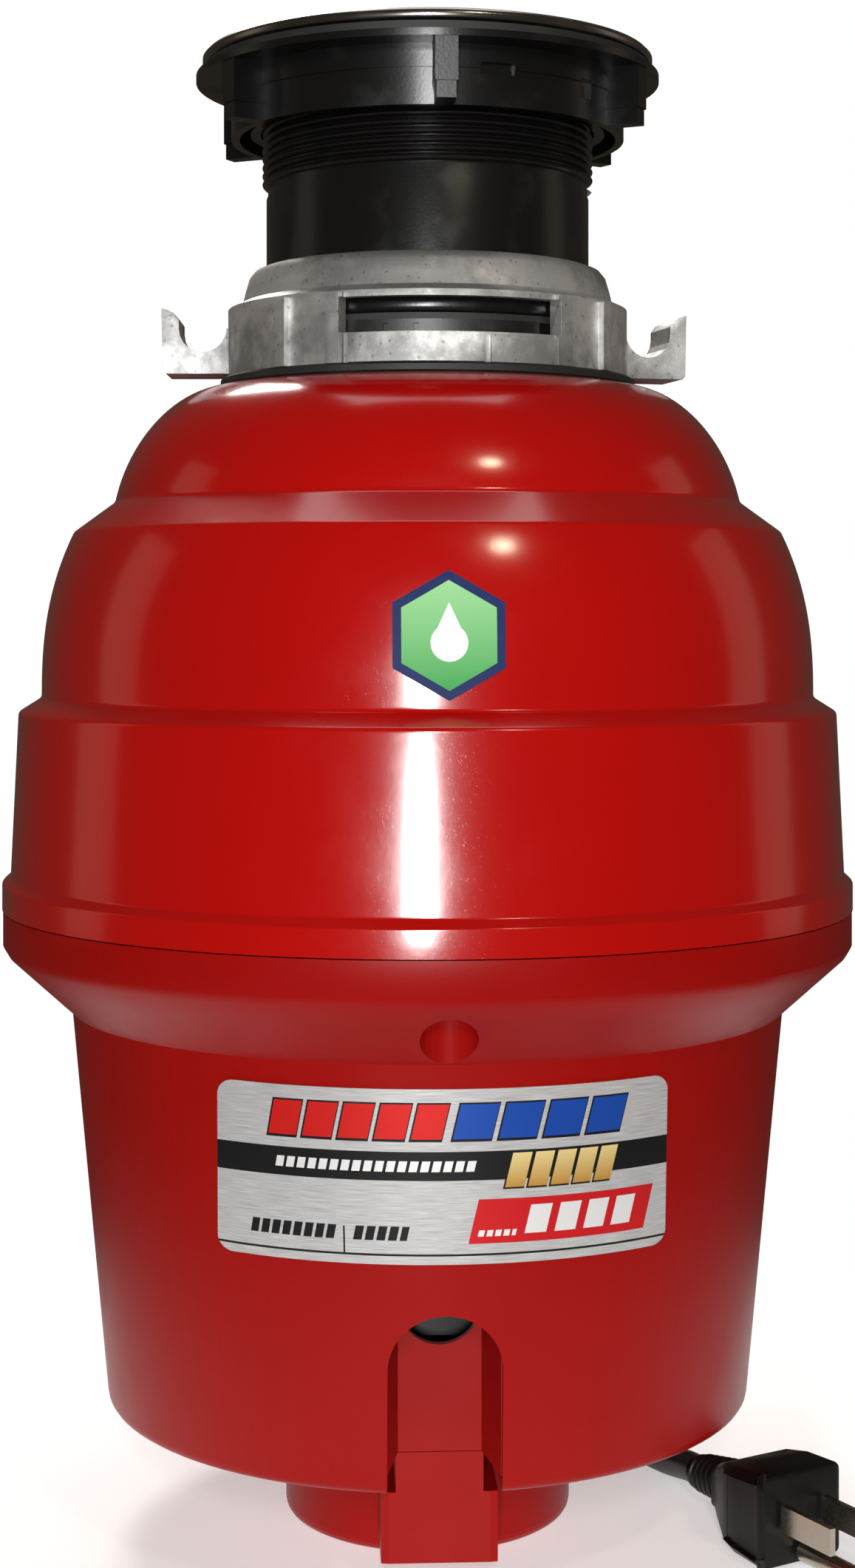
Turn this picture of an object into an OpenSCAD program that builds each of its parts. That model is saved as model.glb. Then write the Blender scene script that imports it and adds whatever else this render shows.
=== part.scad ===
// Kitchen food waste disposer that hangs from a sink drain, standing here on its base.
// Millimetres. +Z is up, the front is -Y, and the origin is the centre of the base's underside.

/* [Shells] */
// Largest outside radius, at the band where the two shells meet
band_r = 107; // [95:1:130]
// Wall of both plastic shells
shell_wall = 2.4; // [2:0.1:3.4]
// Height of the shell's bottom edge above the floor
foot_h = 30; // [27:1:40]
// Height of the skirt that tapers down from the shoulder
skirt_h = 98; // [88:1:130]
// How far the skirt's bottom edge lies inside the band
skirt_bottom_in = 26.2; // [20:0.2:28]
// How far the skirt's top edge lies inside the band
skirt_top_in = 17.3; // [12:0.1:19]
// Height of the shoulder under the band
shoulder_h = 15.8; // [10:0.2:24]
// Height of the lower shell's rim, up to the seam
rim_h = 9.7; // [7:0.1:14]
// Height of the upper shell's band, up from the seam
band_h = 6.4; // [5:0.2:10]
// Height of the first tier, just above the band
tier1_h = 40.4; // [38:0.2:60]
// Height of the second tier
tier2_h = 41.2; // [32:0.2:60]
// Height of the dome above the second tier
dome_h = 29; // [25:0.5:40]
// Width of the arched wiring slot at the front
slot_w = 25.8; // [22:0.2:28]
// Height of the arched wiring slot above the shell's bottom edge
slot_h = 41.3; // [34:0.1:48]

/* [Sink mount] */
// Outside radius of the plastic neck that passes through the sink
neck_r = 41; // [38:0.1:43]
// Wall of the neck
neck_wall = 3.2; // [2.6:0.1:4]
// Length of the neck above the mounting ring
neck_h = 50.8; // [48:0.1:70]
// Pitch of the mounting nut's thread, 12 turns to the inch
thread_pitch = 2.117; // [1.6:0.001:3]
// Radius of the steel sink flange, for a four and a half inch flange
flange_r = 57.15; // [56:0.05:62]
// Radius of the mounting nut's top disc
nut_disc_r = 58.8; // [57:0.1:64]
// Height of the mounting nut
nut_h = 16; // [13:0.2:20]
// Number of grip ribs on the mounting nut
nut_ribs = 6; // [4:1:8]
// Height of the cast mounting ring
ring_h = 27.4; // [26:0.2:34]
// Wall of the mounting ring's skirt
ring_wall = 2.9; // [2.4:0.1:4]
// Reach of the ring's two hooks beyond its skirt
hook_reach = 16.1; // [12:0.1:20]

/* [Grinding] */
// How far the grinding chamber's wall lies inside the band
chamber_in = 27; // [26:0.5:34]
// Wall of the grinding chamber
chamber_wall = 3; // [2.5:0.1:4]
// Inside radius of the discharge outlet
outlet_r = 17.5; // [15:0.1:17.5]
// Outside radius of the dishwasher inlet, a seven-eighths inch hose nozzle
inlet_r = 11.1; // [9:0.1:12]
// Thickness of the turntable
turntable_t = 2.5; // [2:0.1:4]

/* [Motor] */
// Outside radius of the motor can
can_r = 46; // [42:0.5:47]
// Wall of the motor can
can_wall = 2.2; // [1.8:0.1:3]
// Radius of the motor shaft, where the bearings sit
shaft_r = 6; // [5:0.1:7]
// Radius of the armature's core
core_r = 29.5; // [26:0.1:32]

/* [Base and cord] */
// Outside radius of the base cap
base_r = 36; // [33:0.5:40]
// Diameter of the mains cord
cord_d = 7.5; // [6.5:0.1:8.5]

/* [Hidden] */
$fn = 96;
eps = 0.01;
run = 0.05;           // radial clearance of a running fit

// --- Heights, stacked from the floor ---
skirt_top_z = foot_h + skirt_h;
rim_z = skirt_top_z + shoulder_h;
seam_z = rim_z + rim_h;
band_top_z = seam_z + band_h;
ledge1_h = 1.9;
tier1_z = band_top_z + ledge1_h;
tier1_top_z = tier1_z + tier1_h;
ledge2_h = 3.6;
tier2_z = tier1_top_z + ledge2_h;
tier2_top_z = tier2_z + tier2_h;
ledge3_h = 7.5;
dome_z = tier2_top_z + ledge3_h;
dome_top_z = dome_z + dome_h;

// --- Radii of the shells' tiers, all measured in from the band ---
skirt_bottom_r = band_r - skirt_bottom_in;
skirt_top_r = band_r - skirt_top_in;
tier1_r = band_r - 2.1;
tier1_top_r = band_r - 4;
tier2_r = band_r - 9.7;
tier2_top_r = band_r - 17.7;
dome_r = band_r - 27.9;

// --- Sink mount, from the cushion up ---
cushion_t = 2.4;
ring_z = dome_top_z + cushion_t + 0.1;
ring_top_z = ring_z + ring_h;
ring_turn = 4.2;                      // the ring stands this far round from the front
ring_cavity_h = 16.3;                 // from the ring's foot to the underside of its collar
lip_t = 4;                            // the neck's lower lip, which the collar pulls down
neck_z = ring_z + ring_cavity_h - 0.2 - lip_t;
seal_t = 1.6;                         // the seal between the neck and the chamber
chamber_top_z = neck_z - seal_t;
lip_r = neck_r + 6.3;
cavity_r = lip_r + 0.5;
ring_r = cavity_r + ring_wall;
collar_r = neck_r + 0.6;
tab_r = lip_r - 0.3;                  // the chamber's two bayonet tabs
tab_root_r = neck_r + 3.4;
tab_h = 7.4;
neck_top_z = ring_top_z + neck_h;
neck_in_r = neck_r - neck_wall;
flange_t = 0.9;                       // thickness of the pressed steel
flange_rim_h = 3.2;
flange_z = neck_top_z + 0.7;          // underside of the flange's rolled rim
flange_top_z = flange_z + flange_rim_h;
liner_r = neck_in_r - 0.15;
liner_h = 26;
gasket_t = 2.2;
gasket_z = flange_z - 0.1 - gasket_t;
nut_top_z = gasket_z - 0.05;
nut_z = nut_top_z - nut_h;
nut_turn = 1.6;                       // the nut stands this far round from the front
nut_disc_t = 1.7;
nut_wall_r = neck_r + 9.4;
nut_wall = 2.6;
thread_crest = 1.2;
thread_r = neck_r + thread_crest;
nut_bore_r = thread_r + 0.25;
thread_turns = 13;
thread_z = neck_top_z - 2.6 - thread_turns * thread_pitch;

// --- Grinding section ---
chamber_r = band_r - chamber_in;
chamber_out_r = chamber_r + chamber_wall;
floor_z = seam_z + 3;                 // underside of the drain chamber's floor
floor_t = 3.5;
outlet_wall = 3.4;
outlet_z = floor_z + floor_t + outlet_r + 0.6;
joint_z = outlet_z + outlet_r + outlet_wall + 0.6;    // where the grinding chamber sits on the drain chamber
joint_r = chamber_r + 11;
joint_t = 3.4;
joint_seal_t = 1.2;
turntable_z = joint_z + 5;
turntable_r = chamber_r - 2.8;
shred_t = 1.9;
shred_h = 24;
pivot_at = turntable_r * 0.61;        // from the shaft to each swivel lug's rivet
lug_reach = turntable_r - pivot_at - 3.4;
lug_w = 15;
lug_t = 5;
rivet_r = 4;
rivet_head_r = 6.2;
rivet_z = turntable_z + turntable_t;
outlet_face_y = tier1_r + 0.4;
outlet_flange_t = 4.5;
outlet_flange_r = outlet_r + outlet_wall + 1.6;
outlet_bolt_x = 29;
outlet_bolt_r = 3.1;
outlet_seal_t = 2;
outlet_window = 1.4;                  // clearance round the outlet's flange
inlet_angle = 118;                    // round from +X, so just left of straight back
inlet_z = dome_z + 8.4;
inlet_end = dome_r + 26;
inlet_wall = 2.6;
inlet_collar = 1;                     // how much thicker the nozzle is at its root

// --- Motor ---
bell_top_z = foot_h + 32;             // where the can sits on the lower end bell
bell_t = 6;
bell_boss_h = 13;
can_in_r = can_r - can_wall;
bearing_r = 16;
bearing_h = 10;
bearing_boss_r = bearing_r + 4;
upper_bearing_z = floor_z - bearing_h;
lower_bearing_z = bell_top_z - bearing_h;
bolt_r = 2.4;
bolt_at = can_r + 4.6;
brush_plate_t = 3;
brush_z = bell_top_z + brush_plate_t + 2;
brush_h = 8;
brush_w = 6;
brush_l = 12;
commutator_r = 13;
commutator_h = 14;
brush_at = commutator_r + 0.3;
spring_l = 8.5;
holder_wall = 1.4;
stack_z = brush_z + commutator_h + 9;
stack_top_z = upper_bearing_z - 15;
stack_h = stack_top_z - stack_z;
magnet_r = core_r + 1;
slot_count = 12;

// --- Base, wiring and small parts ---
cap_floor_t = 3;
cap_wall = 2.4;
cap_top_z = foot_h - 0.2;
arm_y = base_r + 21.5;                // front face of the cap's wiring arm
arm_w = 27.2;
arm_neck_w = 20.4;
arm_z = 6.5;
panel_y = arm_y + 0.4;
panel_w = 19.4;
panel_top_z = foot_h + slot_h + 7;
panel_z = foot_h + 2.6;
knockout_r = 9.5;                     // hole for a three-quarter inch cord bushing
knockout_z = foot_h + 36.8;
shell_hole_r = base_r - 6;            // opening in the lower shell's bottom plate
cap_screw_at = base_r - 7.2;
cap_screw_r = 2;
cap_screw_angles = [-35, 35, 145, 215];
shell_screw_at = band_r - 10.6;
shell_screw_r = 2.2;
shell_screw_pocket_r = 6.4;
shell_screw_angles = [-90, 30, 150];
button_r = 5;
button_at = [0, 15];
button_z = 4.4;
button_pop = 3;
protector_z = 11;
gland_z = 17;
label_t = 0.4;
label_z = foot_h + 53.2;
label_h = 39.4;
label_half = 35.6;                    // degrees each side of the front
badge_z = tier2_z + 16.4;
badge_r = 14.2;

// --- Cord: where it runs on the floor, in round numbers ---
cord_r = cord_d / 2;
coil_at = [-34, 112];
coil_mid_r = 37.5;
coil_layers = 3;
plug_at = [68.5, -9.5, 10];           // where the cord meets the plug's strain relief
plug_angle = -62;
relief_l = 14;                        // the plug's strain relief
plug_l = 27;
plug_z = 11.2;
gland_l = 26;
lead_in = [[0, 62, 17], [0, 68, 17.2], [0.9, 75, 17.7], [2.7, 82, 18.4], [4.4, 90, 19], [5.2, 98, 19.2],
           [4.7, 105, 19.1], [3.5, 112, 18.9]];
lead_out = [[-34, 74.5, 3.8], [-24, 74.2, 3.8], [-12, 73, 3.8], [0, 71.2, 3.8], [11, 69, 3.8],
            [22, 65.5, 3.8], [32, 60.5, 3.8], [41, 53.5, 3.8], [48.5, 45, 3.8], [54.5, 35.5, 3.8], [59, 26, 4], [62.5, 16.5, 4.8],
            [65, 7.5, 6.5], [67, -1.5, 8.6], [68.5, -9.5, 10]];

// =====================================================================
// Shared shapes
// =====================================================================

function unit(v) = v / norm(v);

// Left-hand normal of a 2D direction
function left_of(v) = [-v[1], v[0]];

// A profile path moved sideways by d, with mitred corners; +d is to the left of its direction
function beside(path, d) = [
    for (i = [0 : len(path) - 1])
        let (a = i == 0 ? unit(path[1] - path[0]) : unit(path[i] - path[i - 1]),
             b = i == len(path) - 1 ? a : unit(path[i + 1] - path[i]),
             na = left_of(a), nb = left_of(b))
        path[i] + d * (na + nb) / (1 + na * nb)
];

function reversed(list) = [for (i = [len(list) - 1 : -1 : 0]) list[i]];

// Points on a circle round [cx, cy] between two angles
function arc(cx, cy, r, from, to, steps = 6) =
    [for (i = [0 : steps]) let (t = from + (to - from) * i / steps) [cx + r * cos(t), cy + r * sin(t)]];

// A turned wall: the path on its outside, and the same path moved in by the wall
module turned_wall(path, wall) {
    rotate_extrude() polygon(concat(path, reversed(beside(path, wall))));
}

module ring(r_out, r_in, h) {
    difference() {
        cylinder(r = r_out, h = h);
        translate([0, 0, -1]) cylinder(r = r_in, h = h + 2);
    }
}

// Part of a flat ring, centred on the front, half degrees to each side
module sector(r_out, r_in, h, half) {
    rotate([0, 0, -90 - half])
        rotate_extrude(angle = 2 * half) translate([r_in, 0]) square([r_out - r_in, h]);
}

// Copies at each angle in a list, turned about the axis
module at_angles(angles) {
    for (a = angles) rotate([0, 0, a]) children();
}

// A slab with two round ends, w long from end to end along X, thick along Z
module obround(w, h, t) {
    translate([-(w - h) / 2, -h / 2, 0]) cube([w - h, h, t]);
    for (s = [-1, 1]) translate([s * (w - h) / 2, 0, 0]) cylinder(d = h, h = t);
}

// A screw with a round head, standing on its head's underside, pointing up
module screw(r, length, head_r, head_h) {
    translate([0, 0, -head_h / 2]) cylinder(r = r, h = length + head_h / 2);
    translate([0, 0, -head_h]) difference() {
        cylinder(r = head_r, h = head_h);
        translate([-head_r * 0.7, -0.5, -1]) cube([head_r * 1.4, 1, 1.9]);
        translate([-0.5, -head_r * 0.7, -1]) cube([1, head_r * 1.4, 1.9]);
    }
}

// A round tube swept along points, each given as [x, y, z]
module swept_tube(points, r, sides = 8) {
    n = len(points);
    rings = [for (i = [0 : n - 1])
        let (d = unit(points[min(i + 1, n - 1)] - points[max(i - 1, 0)]),
             side = unit(cross(d, [0, 0, 1])), up = cross(side, d))
        for (k = [0 : sides - 1]) let (t = 360 * (k + 0.5) / sides)
            points[i] + r * (cos(t) * side + sin(t) * up)];
    walls = [for (i = [0 : n - 2]) for (k = [0 : sides - 1])
        let (k2 = (k + 1) % sides)
        [i * sides + k, i * sides + k2, (i + 1) * sides + k2, (i + 1) * sides + k]];
    ends = [[for (k = [sides - 1 : -1 : 0]) k], [for (k = [0 : sides - 1]) (n - 1) * sides + k]];
    polyhedron(rings, concat(walls, ends), convexity = 10);
}

// Points of a smooth curve through a coarse path, steps to each span
function smooth_path(p, steps) = concat(
    [for (i = [0 : len(p) - 2]) for (s = [0 : steps - 1])
        let (a = p[max(i - 1, 0)], b = p[i], c = p[i + 1], d = p[min(i + 2, len(p) - 1)], t = s / steps)
        0.5 * ((2 * b) + (c - a) * t + (2 * a - 5 * b + 4 * c - d) * t * t + (3 * b - a - 3 * c + d) * t * t * t)],
    [p[len(p) - 1]]);

// =====================================================================
// Shells
// =====================================================================

// Outside of the second tier, drawing in slowly and then faster
function tier2_path() = [for (i = [0 : 10]) let (t = i / 10)
    [tier2_r - (tier2_r - tier2_top_r) * pow(t, 2.5), tier2_z + tier2_h * t]];

cushion_r = tab_root_r + 7.6;         // radius of the shell's flat top, under the cushion

// Outside of the dome, part straight and part elliptical
function dome_path() = [for (i = [0 : 14]) let (t = sin(90 * i / 14), drop = dome_r - cushion_r)
    [dome_r - drop * (0.22 * t + 0.78 * (1 - sqrt(1 - t * t))), dome_z + dome_h * t]];

function upper_shell_path() = concat(
    [[band_r, seam_z], [band_r, band_top_z], [tier1_r, tier1_z], [tier1_top_r, tier1_top_z]],
    tier2_path(),
    dome_path());

// Radius of the skirt at height z
function skirt_r(z) = skirt_bottom_r + (skirt_top_r - skirt_bottom_r) * (z - foot_h) / skirt_h;

module outlet_opening() {
    translate([0, 0, outlet_z]) rotate([-90, 0, 0])
        obround(2 * (outlet_bolt_x + 9 + outlet_window), 2 * (outlet_flange_r + outlet_window), band_r + 10);
}

module inlet_place() {
    rotate([0, 0, inlet_angle]) translate([0, 0, inlet_z]) rotate([0, 90, 0]) children();
}

module upper_shell() {
    color("firebrick") {
        difference() {
            union() {
                turned_wall(upper_shell_path(), shell_wall);
                // the flat top, and the low locating collar on it
                translate([0, 0, dome_top_z - shell_wall]) ring(cushion_r + 0.2, tab_root_r + 1.2, shell_wall);
                // bosses that the shell screws bite into, each on a web from the band
                at_angles(shell_screw_angles) translate([shell_screw_at, 0, seam_z + 0.2]) {
                    cylinder(r = shell_screw_r + 2.6, h = band_h + 4);
                    translate([0, -2, 0]) cube([band_r - shell_wall + 0.2 - shell_screw_at, 4, band_h + 4]);
                }
            }
            translate([0, 12, 0]) outlet_opening();
            inlet_place() cylinder(r = inlet_r + inlet_collar + 0.6, h = band_r);
            at_angles(shell_screw_angles) translate([shell_screw_at, 0, seam_z - 1])
                cylinder(r = shell_screw_r, h = band_h + 3.4);
        }
    }
}

function lower_shell_path() = concat(
    arc(skirt_bottom_r - 3, foot_h + 3, 3, -90, 0, 4),
    [[skirt_top_r, skirt_top_z], [band_r - 1.6, rim_z - 1.4], [band_r - 0.2, rim_z + 1], [band_r - 0.2, seam_z - 0.3]]);

module lower_shell() {
    inner_top = seam_z - 2.5;
    color("firebrick") {
        difference() {
            union() {
                turned_wall(lower_shell_path(), shell_wall);
                translate([0, 0, foot_h]) ring(skirt_bottom_r - 2.8, shell_hole_r, shell_wall);
                // walls of the screw pockets that rise through the shoulder
                at_angles(shell_screw_angles) intersection() {
                    translate([shell_screw_at, 0, skirt_top_z])
                        cylinder(r = shell_screw_pocket_r + 2, h = inner_top - skirt_top_z);
                    rotate_extrude() polygon([[1, foot_h + 5], [skirt_bottom_r - 4, foot_h + 5],
                        [skirt_top_r - 1, skirt_top_z], [band_r - 3, rim_z], [band_r - 2, inner_top], [1, inner_top]]);
                }
                // bosses for the base cap's screws
                at_angles(cap_screw_angles) translate([cap_screw_at, 0, foot_h + 0.4])
                    cylinder(r = cap_screw_r + 3, h = 9);
            }
            at_angles(shell_screw_angles) {
                translate([shell_screw_at, 0, skirt_top_z - 20])
                    cylinder(r = shell_screw_pocket_r, h = inner_top - 4 - skirt_top_z + 20);
                translate([shell_screw_at, 0, skirt_top_z]) cylinder(r = shell_screw_r + 0.3, h = 60);
            }
            at_angles(cap_screw_angles) translate([cap_screw_at, 0, foot_h - 1]) cylinder(r = cap_screw_r, h = 20);
            // the arched wiring slot at the front
            translate([0, -skirt_bottom_r - 12, foot_h - 1]) rotate([90, 0, 0]) mirror([0, 0, 1]) {
                translate([-slot_w / 2, 0, 0]) cube([slot_w, slot_h + 1 - slot_w / 2, skirt_bottom_r - panel_y + 14]);
                translate([0, slot_h + 1 - slot_w / 2, 0]) cylinder(d = slot_w, h = skirt_bottom_r - panel_y + 14);
            }
            translate([-slot_w / 2, -skirt_bottom_r, foot_h - 1])
                cube([slot_w, skirt_bottom_r - shell_hole_r + 4, shell_wall + 2]);
            // cooling slots in the bottom plate
            for (a = [-30 : 20 : 210]) rotate([0, 0, a])
                translate([(shell_hole_r + skirt_bottom_r) / 2 - 2, -2, foot_h - 1]) cube([17, 4, 10]);
        }
    }
}

module rating_label() {
    lean = atan((skirt_top_r - skirt_bottom_r) / skirt_h);
    half_w = skirt_r(label_z + label_h / 2) * sin(label_half);
    round_r = 3.5;
    color("silver") intersection() {
        rotate([0, 0, -90 - label_half - 2]) rotate_extrude(angle = 2 * label_half + 4)
            polygon([for (z = [label_z - 1, label_z + label_h + 1]) [skirt_r(z) + 0.05, z],
                     for (z = [label_z + label_h + 1, label_z - 1]) [skirt_r(z) + 0.05 + label_t, z]]);
        translate([0, -skirt_top_r + half_w, label_z]) rotate([90, 0, 0]) union() {
            translate([-half_w, round_r, -60]) cube([2 * half_w, label_h - 2 * round_r, 120]);
            translate([-half_w + round_r, 0, -60]) cube([2 * (half_w - round_r), label_h, 120]);
            for (x = [-1, 1]) for (y = [round_r, label_h - round_r])
                translate([x * (half_w - round_r), y, -60]) cylinder(r = round_r, h = 120);
        }
    }
}

module badge() {
    outline = [for (a = [30 : 60 : 330]) badge_r * [cos(a), sin(a)]];
    color("seagreen") intersection() {
        rotate([0, 0, -105]) rotate_extrude(angle = 30) let (path = tier2_path())
            polygon(concat(beside(path, -0.05), reversed(beside(path, -0.05 - label_t))));
        translate([0, -tier2_r / 2, badge_z]) rotate([90, 0, 0]) linear_extrude(tier2_r) polygon(outline);
    }
}

module shell_screws() {
    color("dimgray") at_angles(shell_screw_angles)
        translate([shell_screw_at, 0, seam_z - 2.5 - 4]) screw(shell_screw_r - 0.05, band_h + 7, 4.2, 2.6);
}

// =====================================================================
// Base and wiring
// =====================================================================

module base_cap() {
    color("firebrick") {
        difference() {
            union() {
                rotate_extrude() polygon(concat([[0, 0]], arc(base_r - 3, 3, 3, -90, 0, 4),
                    [[base_r, cap_top_z], [base_r - cap_wall, cap_top_z], [base_r - cap_wall, cap_floor_t],
                     [0, cap_floor_t]]));
                // posts for the long screws
                at_angles(cap_screw_angles) translate([cap_screw_at, 0, cap_floor_t - 1])
                    cylinder(r = cap_screw_r + 2.6, h = cap_top_z - cap_floor_t + 1);
                // ring that carries the overload protector
                translate([button_at[0], button_at[1], cap_floor_t - 1])
                    ring(button_r + 3.4, button_r + 0.6, protector_z - cap_floor_t + 1);
                wiring_arm();
            }
            at_angles(cap_screw_angles) translate([cap_screw_at, 0, 0]) {
                translate([0, 0, -1]) cylinder(r = cap_screw_r + 0.3, h = 60);
                translate([0, 0, -1]) cylinder(r = 3.9, h = 5);
            }
            translate([button_at[0], button_at[1], -1]) cylinder(r = button_r + 0.6, h = 20);
            // inside of the arm, open to the cup
            translate([-arm_neck_w / 2 + 2.2, -arm_y + 2.2, arm_z + 2.2])
                cube([arm_neck_w - 4.4, arm_y - base_r + 6, 40]);
            // hole for the cord's gland at the back
            translate([0, base_r - 10, gland_z]) rotate([-90, 0, 0]) cylinder(r = cord_r + 2.5, h = 20);
        }
    }
}

// The arm that carries the wires from the cup out to the front, under the wiring duct
module wiring_arm() {
    neck_from = arm_z + 16.5;
    top = panel_z - 0.3;
    intersection() {
        difference() {
            union() {
                translate([-arm_w / 2, -arm_y, arm_z]) cube([arm_w, arm_y - base_r + 5, neck_from - arm_z]);
                translate([-arm_neck_w / 2, -arm_y, neck_from - 1]) cube([arm_neck_w, arm_y - base_r + 5, top - neck_from + 1]);
            }
            cylinder(r = base_r - cap_wall, h = 80);
        }
        // the front face follows a circle
        cylinder(r = arm_y + 1.2, h = 80);
    }
}

// Channel behind the arched slot: a flat panel with a hole, and cheeks that flare out to the shell
module wiring_duct() {
    shell_in = skirt_bottom_r - shell_wall - 3;
    t = 2.2;
    plan = [[-panel_w / 2, -panel_y], [panel_w / 2, -panel_y], [slot_w / 2, -shell_in],
            [slot_w / 2 + t, -shell_in], [panel_w / 2 + t, -panel_y + t], [-panel_w / 2 - t, -panel_y + t],
            [-slot_w / 2 - t, -shell_in], [-slot_w / 2, -shell_in]];
    color("firebrick") {
        difference() {
            union() {
                translate([0, 0, panel_z]) linear_extrude(panel_top_z - panel_z) polygon(plan);
                // roof over the slot
                translate([0, 0, panel_top_z - t]) linear_extrude(t)
                    polygon([plan[4], plan[5], plan[6], plan[3]]);
            }
            translate([0, -panel_y - 1, knockout_z]) rotate([-90, 0, 0]) cylinder(r = knockout_r, h = 10);
        }
    }
}

module overload_protector() {
    color("dimgray") translate([button_at[0], button_at[1], protector_z]) difference() {
        translate([-11, -9, 0]) cube([22, 18, 13]);
        translate([0, 0, -1]) cylinder(r = button_r + 0.3, h = 9);
    }
}

module reset_button() {
    color("red") translate([button_at[0], button_at[1], button_z]) {
        cylinder(r = button_r, h = 3.5);
        cylinder(r = button_r - 1, h = protector_z - button_z + 6);
    }
}

module cap_screws() {
    color("dimgray") at_angles(cap_screw_angles)
        translate([cap_screw_at, 0, 4]) screw(cap_screw_r - 0.05, foot_h + 3, 3.6, 2.2);
}

module rectifier() {
    color("black") translate([-58, 6, foot_h + shell_wall]) difference() {
        cube([25, 25, 9]);
        translate([12.5, 12.5, -1]) cylinder(r = 2.2, h = 12);
    }
}

module cord_gland() {
    seat = base_r - cap_wall;
    color("black") translate([0, 0, gland_z]) rotate([-90, 0, 0]) difference() {
        rotate_extrude() polygon([
            [cord_r, seat - 4], [cord_r + 4.6, seat - 4], [cord_r + 4.6, seat - 0.9], [cord_r + 2.45, seat - 0.9],
            [cord_r + 2.45, base_r + 0.3], [cord_r + 3.6, base_r + 0.3], [cord_r + 3.6, base_r + 2.6],
            [cord_r + 2.6, base_r + 3.6], [cord_r + 0.9, base_r + gland_l], [cord_r, base_r + gland_l]]);
        for (i = [0 : 4]) translate([0, 0, base_r + 6 + 4 * i])
            ring(cord_r + 6, cord_r + 2.1 - 0.32 * i, 1.3);
    }
}

// =====================================================================
// Grinding section
// =====================================================================

function chamber_path() = [
    [chamber_out_r, joint_z + joint_seal_t],
    [chamber_out_r, tier2_z + tier2_h * 0.55],
    [dome_r - shell_wall - 3.4, tier2_top_z + 2],
    [dome_r - shell_wall - 4.4, dome_z + dome_h * 0.1],
    [dome_r - shell_wall - 0.2 * (dome_r - tab_root_r) - 5, dome_z + dome_h * 0.5],
    [tab_root_r + 3.5, dome_z + dome_h * 0.84],
    [tab_root_r - 0.8, dome_z + dome_h * 0.92],
    [tab_root_r - 0.8, chamber_top_z]];

module grind_chamber() {
    color("dimgray") {
        difference() {
            union() {
                turned_wall(chamber_path(), chamber_wall);
                translate([0, 0, joint_z + joint_seal_t]) ring(joint_r, chamber_r, joint_t);
                // rim with two bayonet tabs
                translate([0, 0, chamber_top_z - tab_h]) {
                    ring(tab_root_r, tab_root_r - chamber_wall, tab_h);
                    at_angles([0, 180]) bayonet_tab();
                }
                inlet_place() translate([0, 0, dome_r - 18]) {
                    cylinder(r = inlet_r, h = inlet_end - dome_r + 18);
                    cylinder(r = inlet_r + inlet_collar, h = 24);
                }
            }
            // the nozzle is bored from outside and left closed at the chamber wall
            inlet_place() translate([0, 0, dome_r - 6]) cylinder(r = inlet_r - inlet_wall, h = band_r);
            rotate_extrude() polygon(concat([[1, joint_z]], beside(chamber_path(), chamber_wall), [[1, chamber_top_z]]));
            chamber_screw_places() cylinder(r = 2.2, h = 30, center = true);
        }
    }
}

// One bayonet tab, with the stop block that shows in the ring's window
module bayonet_tab() {
    difference() {
        sector(tab_r, tab_root_r - 1, tab_h, 32);
        for (a = [-11, -2]) rotate([0, 0, a - 4]) sector(tab_r + 1, tab_r - 1, tab_h - 1, 0.8);
    }
}

module chamber_screw_places() {
    for (a = [0 : 60 : 300]) rotate([0, 0, a]) translate([chamber_r + 7.4, 0, joint_z]) children();
}

module chamber_seal() {
    color("black") difference() {
        translate([0, 0, joint_z]) ring(chamber_r + 4.6, chamber_r + 0.2, joint_seal_t);
    }
}

module chamber_screws() {
    color("silver") chamber_screw_places()
        translate([0, 0, joint_seal_t + joint_t]) rotate([180, 0, 0]) screw(2, joint_t + joint_seal_t + 6, 3.6, 2.4);
}

module sound_liner() {
    outer = beside(tier2_path(), shell_wall + 1);
    keep = [for (p = outer) if (p[1] < tier2_z + tier2_h * 0.5) p];
    color("lightgray") translate([0, 0, 2]) rotate_extrude() polygon(concat(
        [[chamber_out_r + 1.2, keep[0][1]]], keep, [[chamber_out_r + 1.2, keep[len(keep) - 1][1]]]));
}

module chamber_cushion() {
    color("black") rotate_extrude() translate([0, dome_top_z]) polygon([
        [tab_root_r + 0.3, 0], [cushion_r - 0.6, 0], [cushion_r + 0.6, 0.5], [cushion_r + 0.6, cushion_t - 0.5],
        [cushion_r, cushion_t], [tab_root_r + 0.3, cushion_t]]);
}

module shredder_ring() {
    r_in = chamber_r - 0.1 - shred_t;
    color("silver") translate([0, 0, joint_z + 0.2]) difference() {
        union() {
            ring(chamber_r - 0.1, r_in, shred_h);
            // grinding teeth pressed in just above the turntable
            for (a = [0 : 30 : 330]) rotate([0, 0, a]) translate([r_in - 0.7, -2, 10]) cube([1.2, 4, shred_h - 12]);
        }
        // drain notches along the bottom edge
        for (a = [15 : 30 : 345]) rotate([0, 0, a]) translate([r_in - 3, -3, -1]) cube([8, 6, 8]);
    }
}

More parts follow.
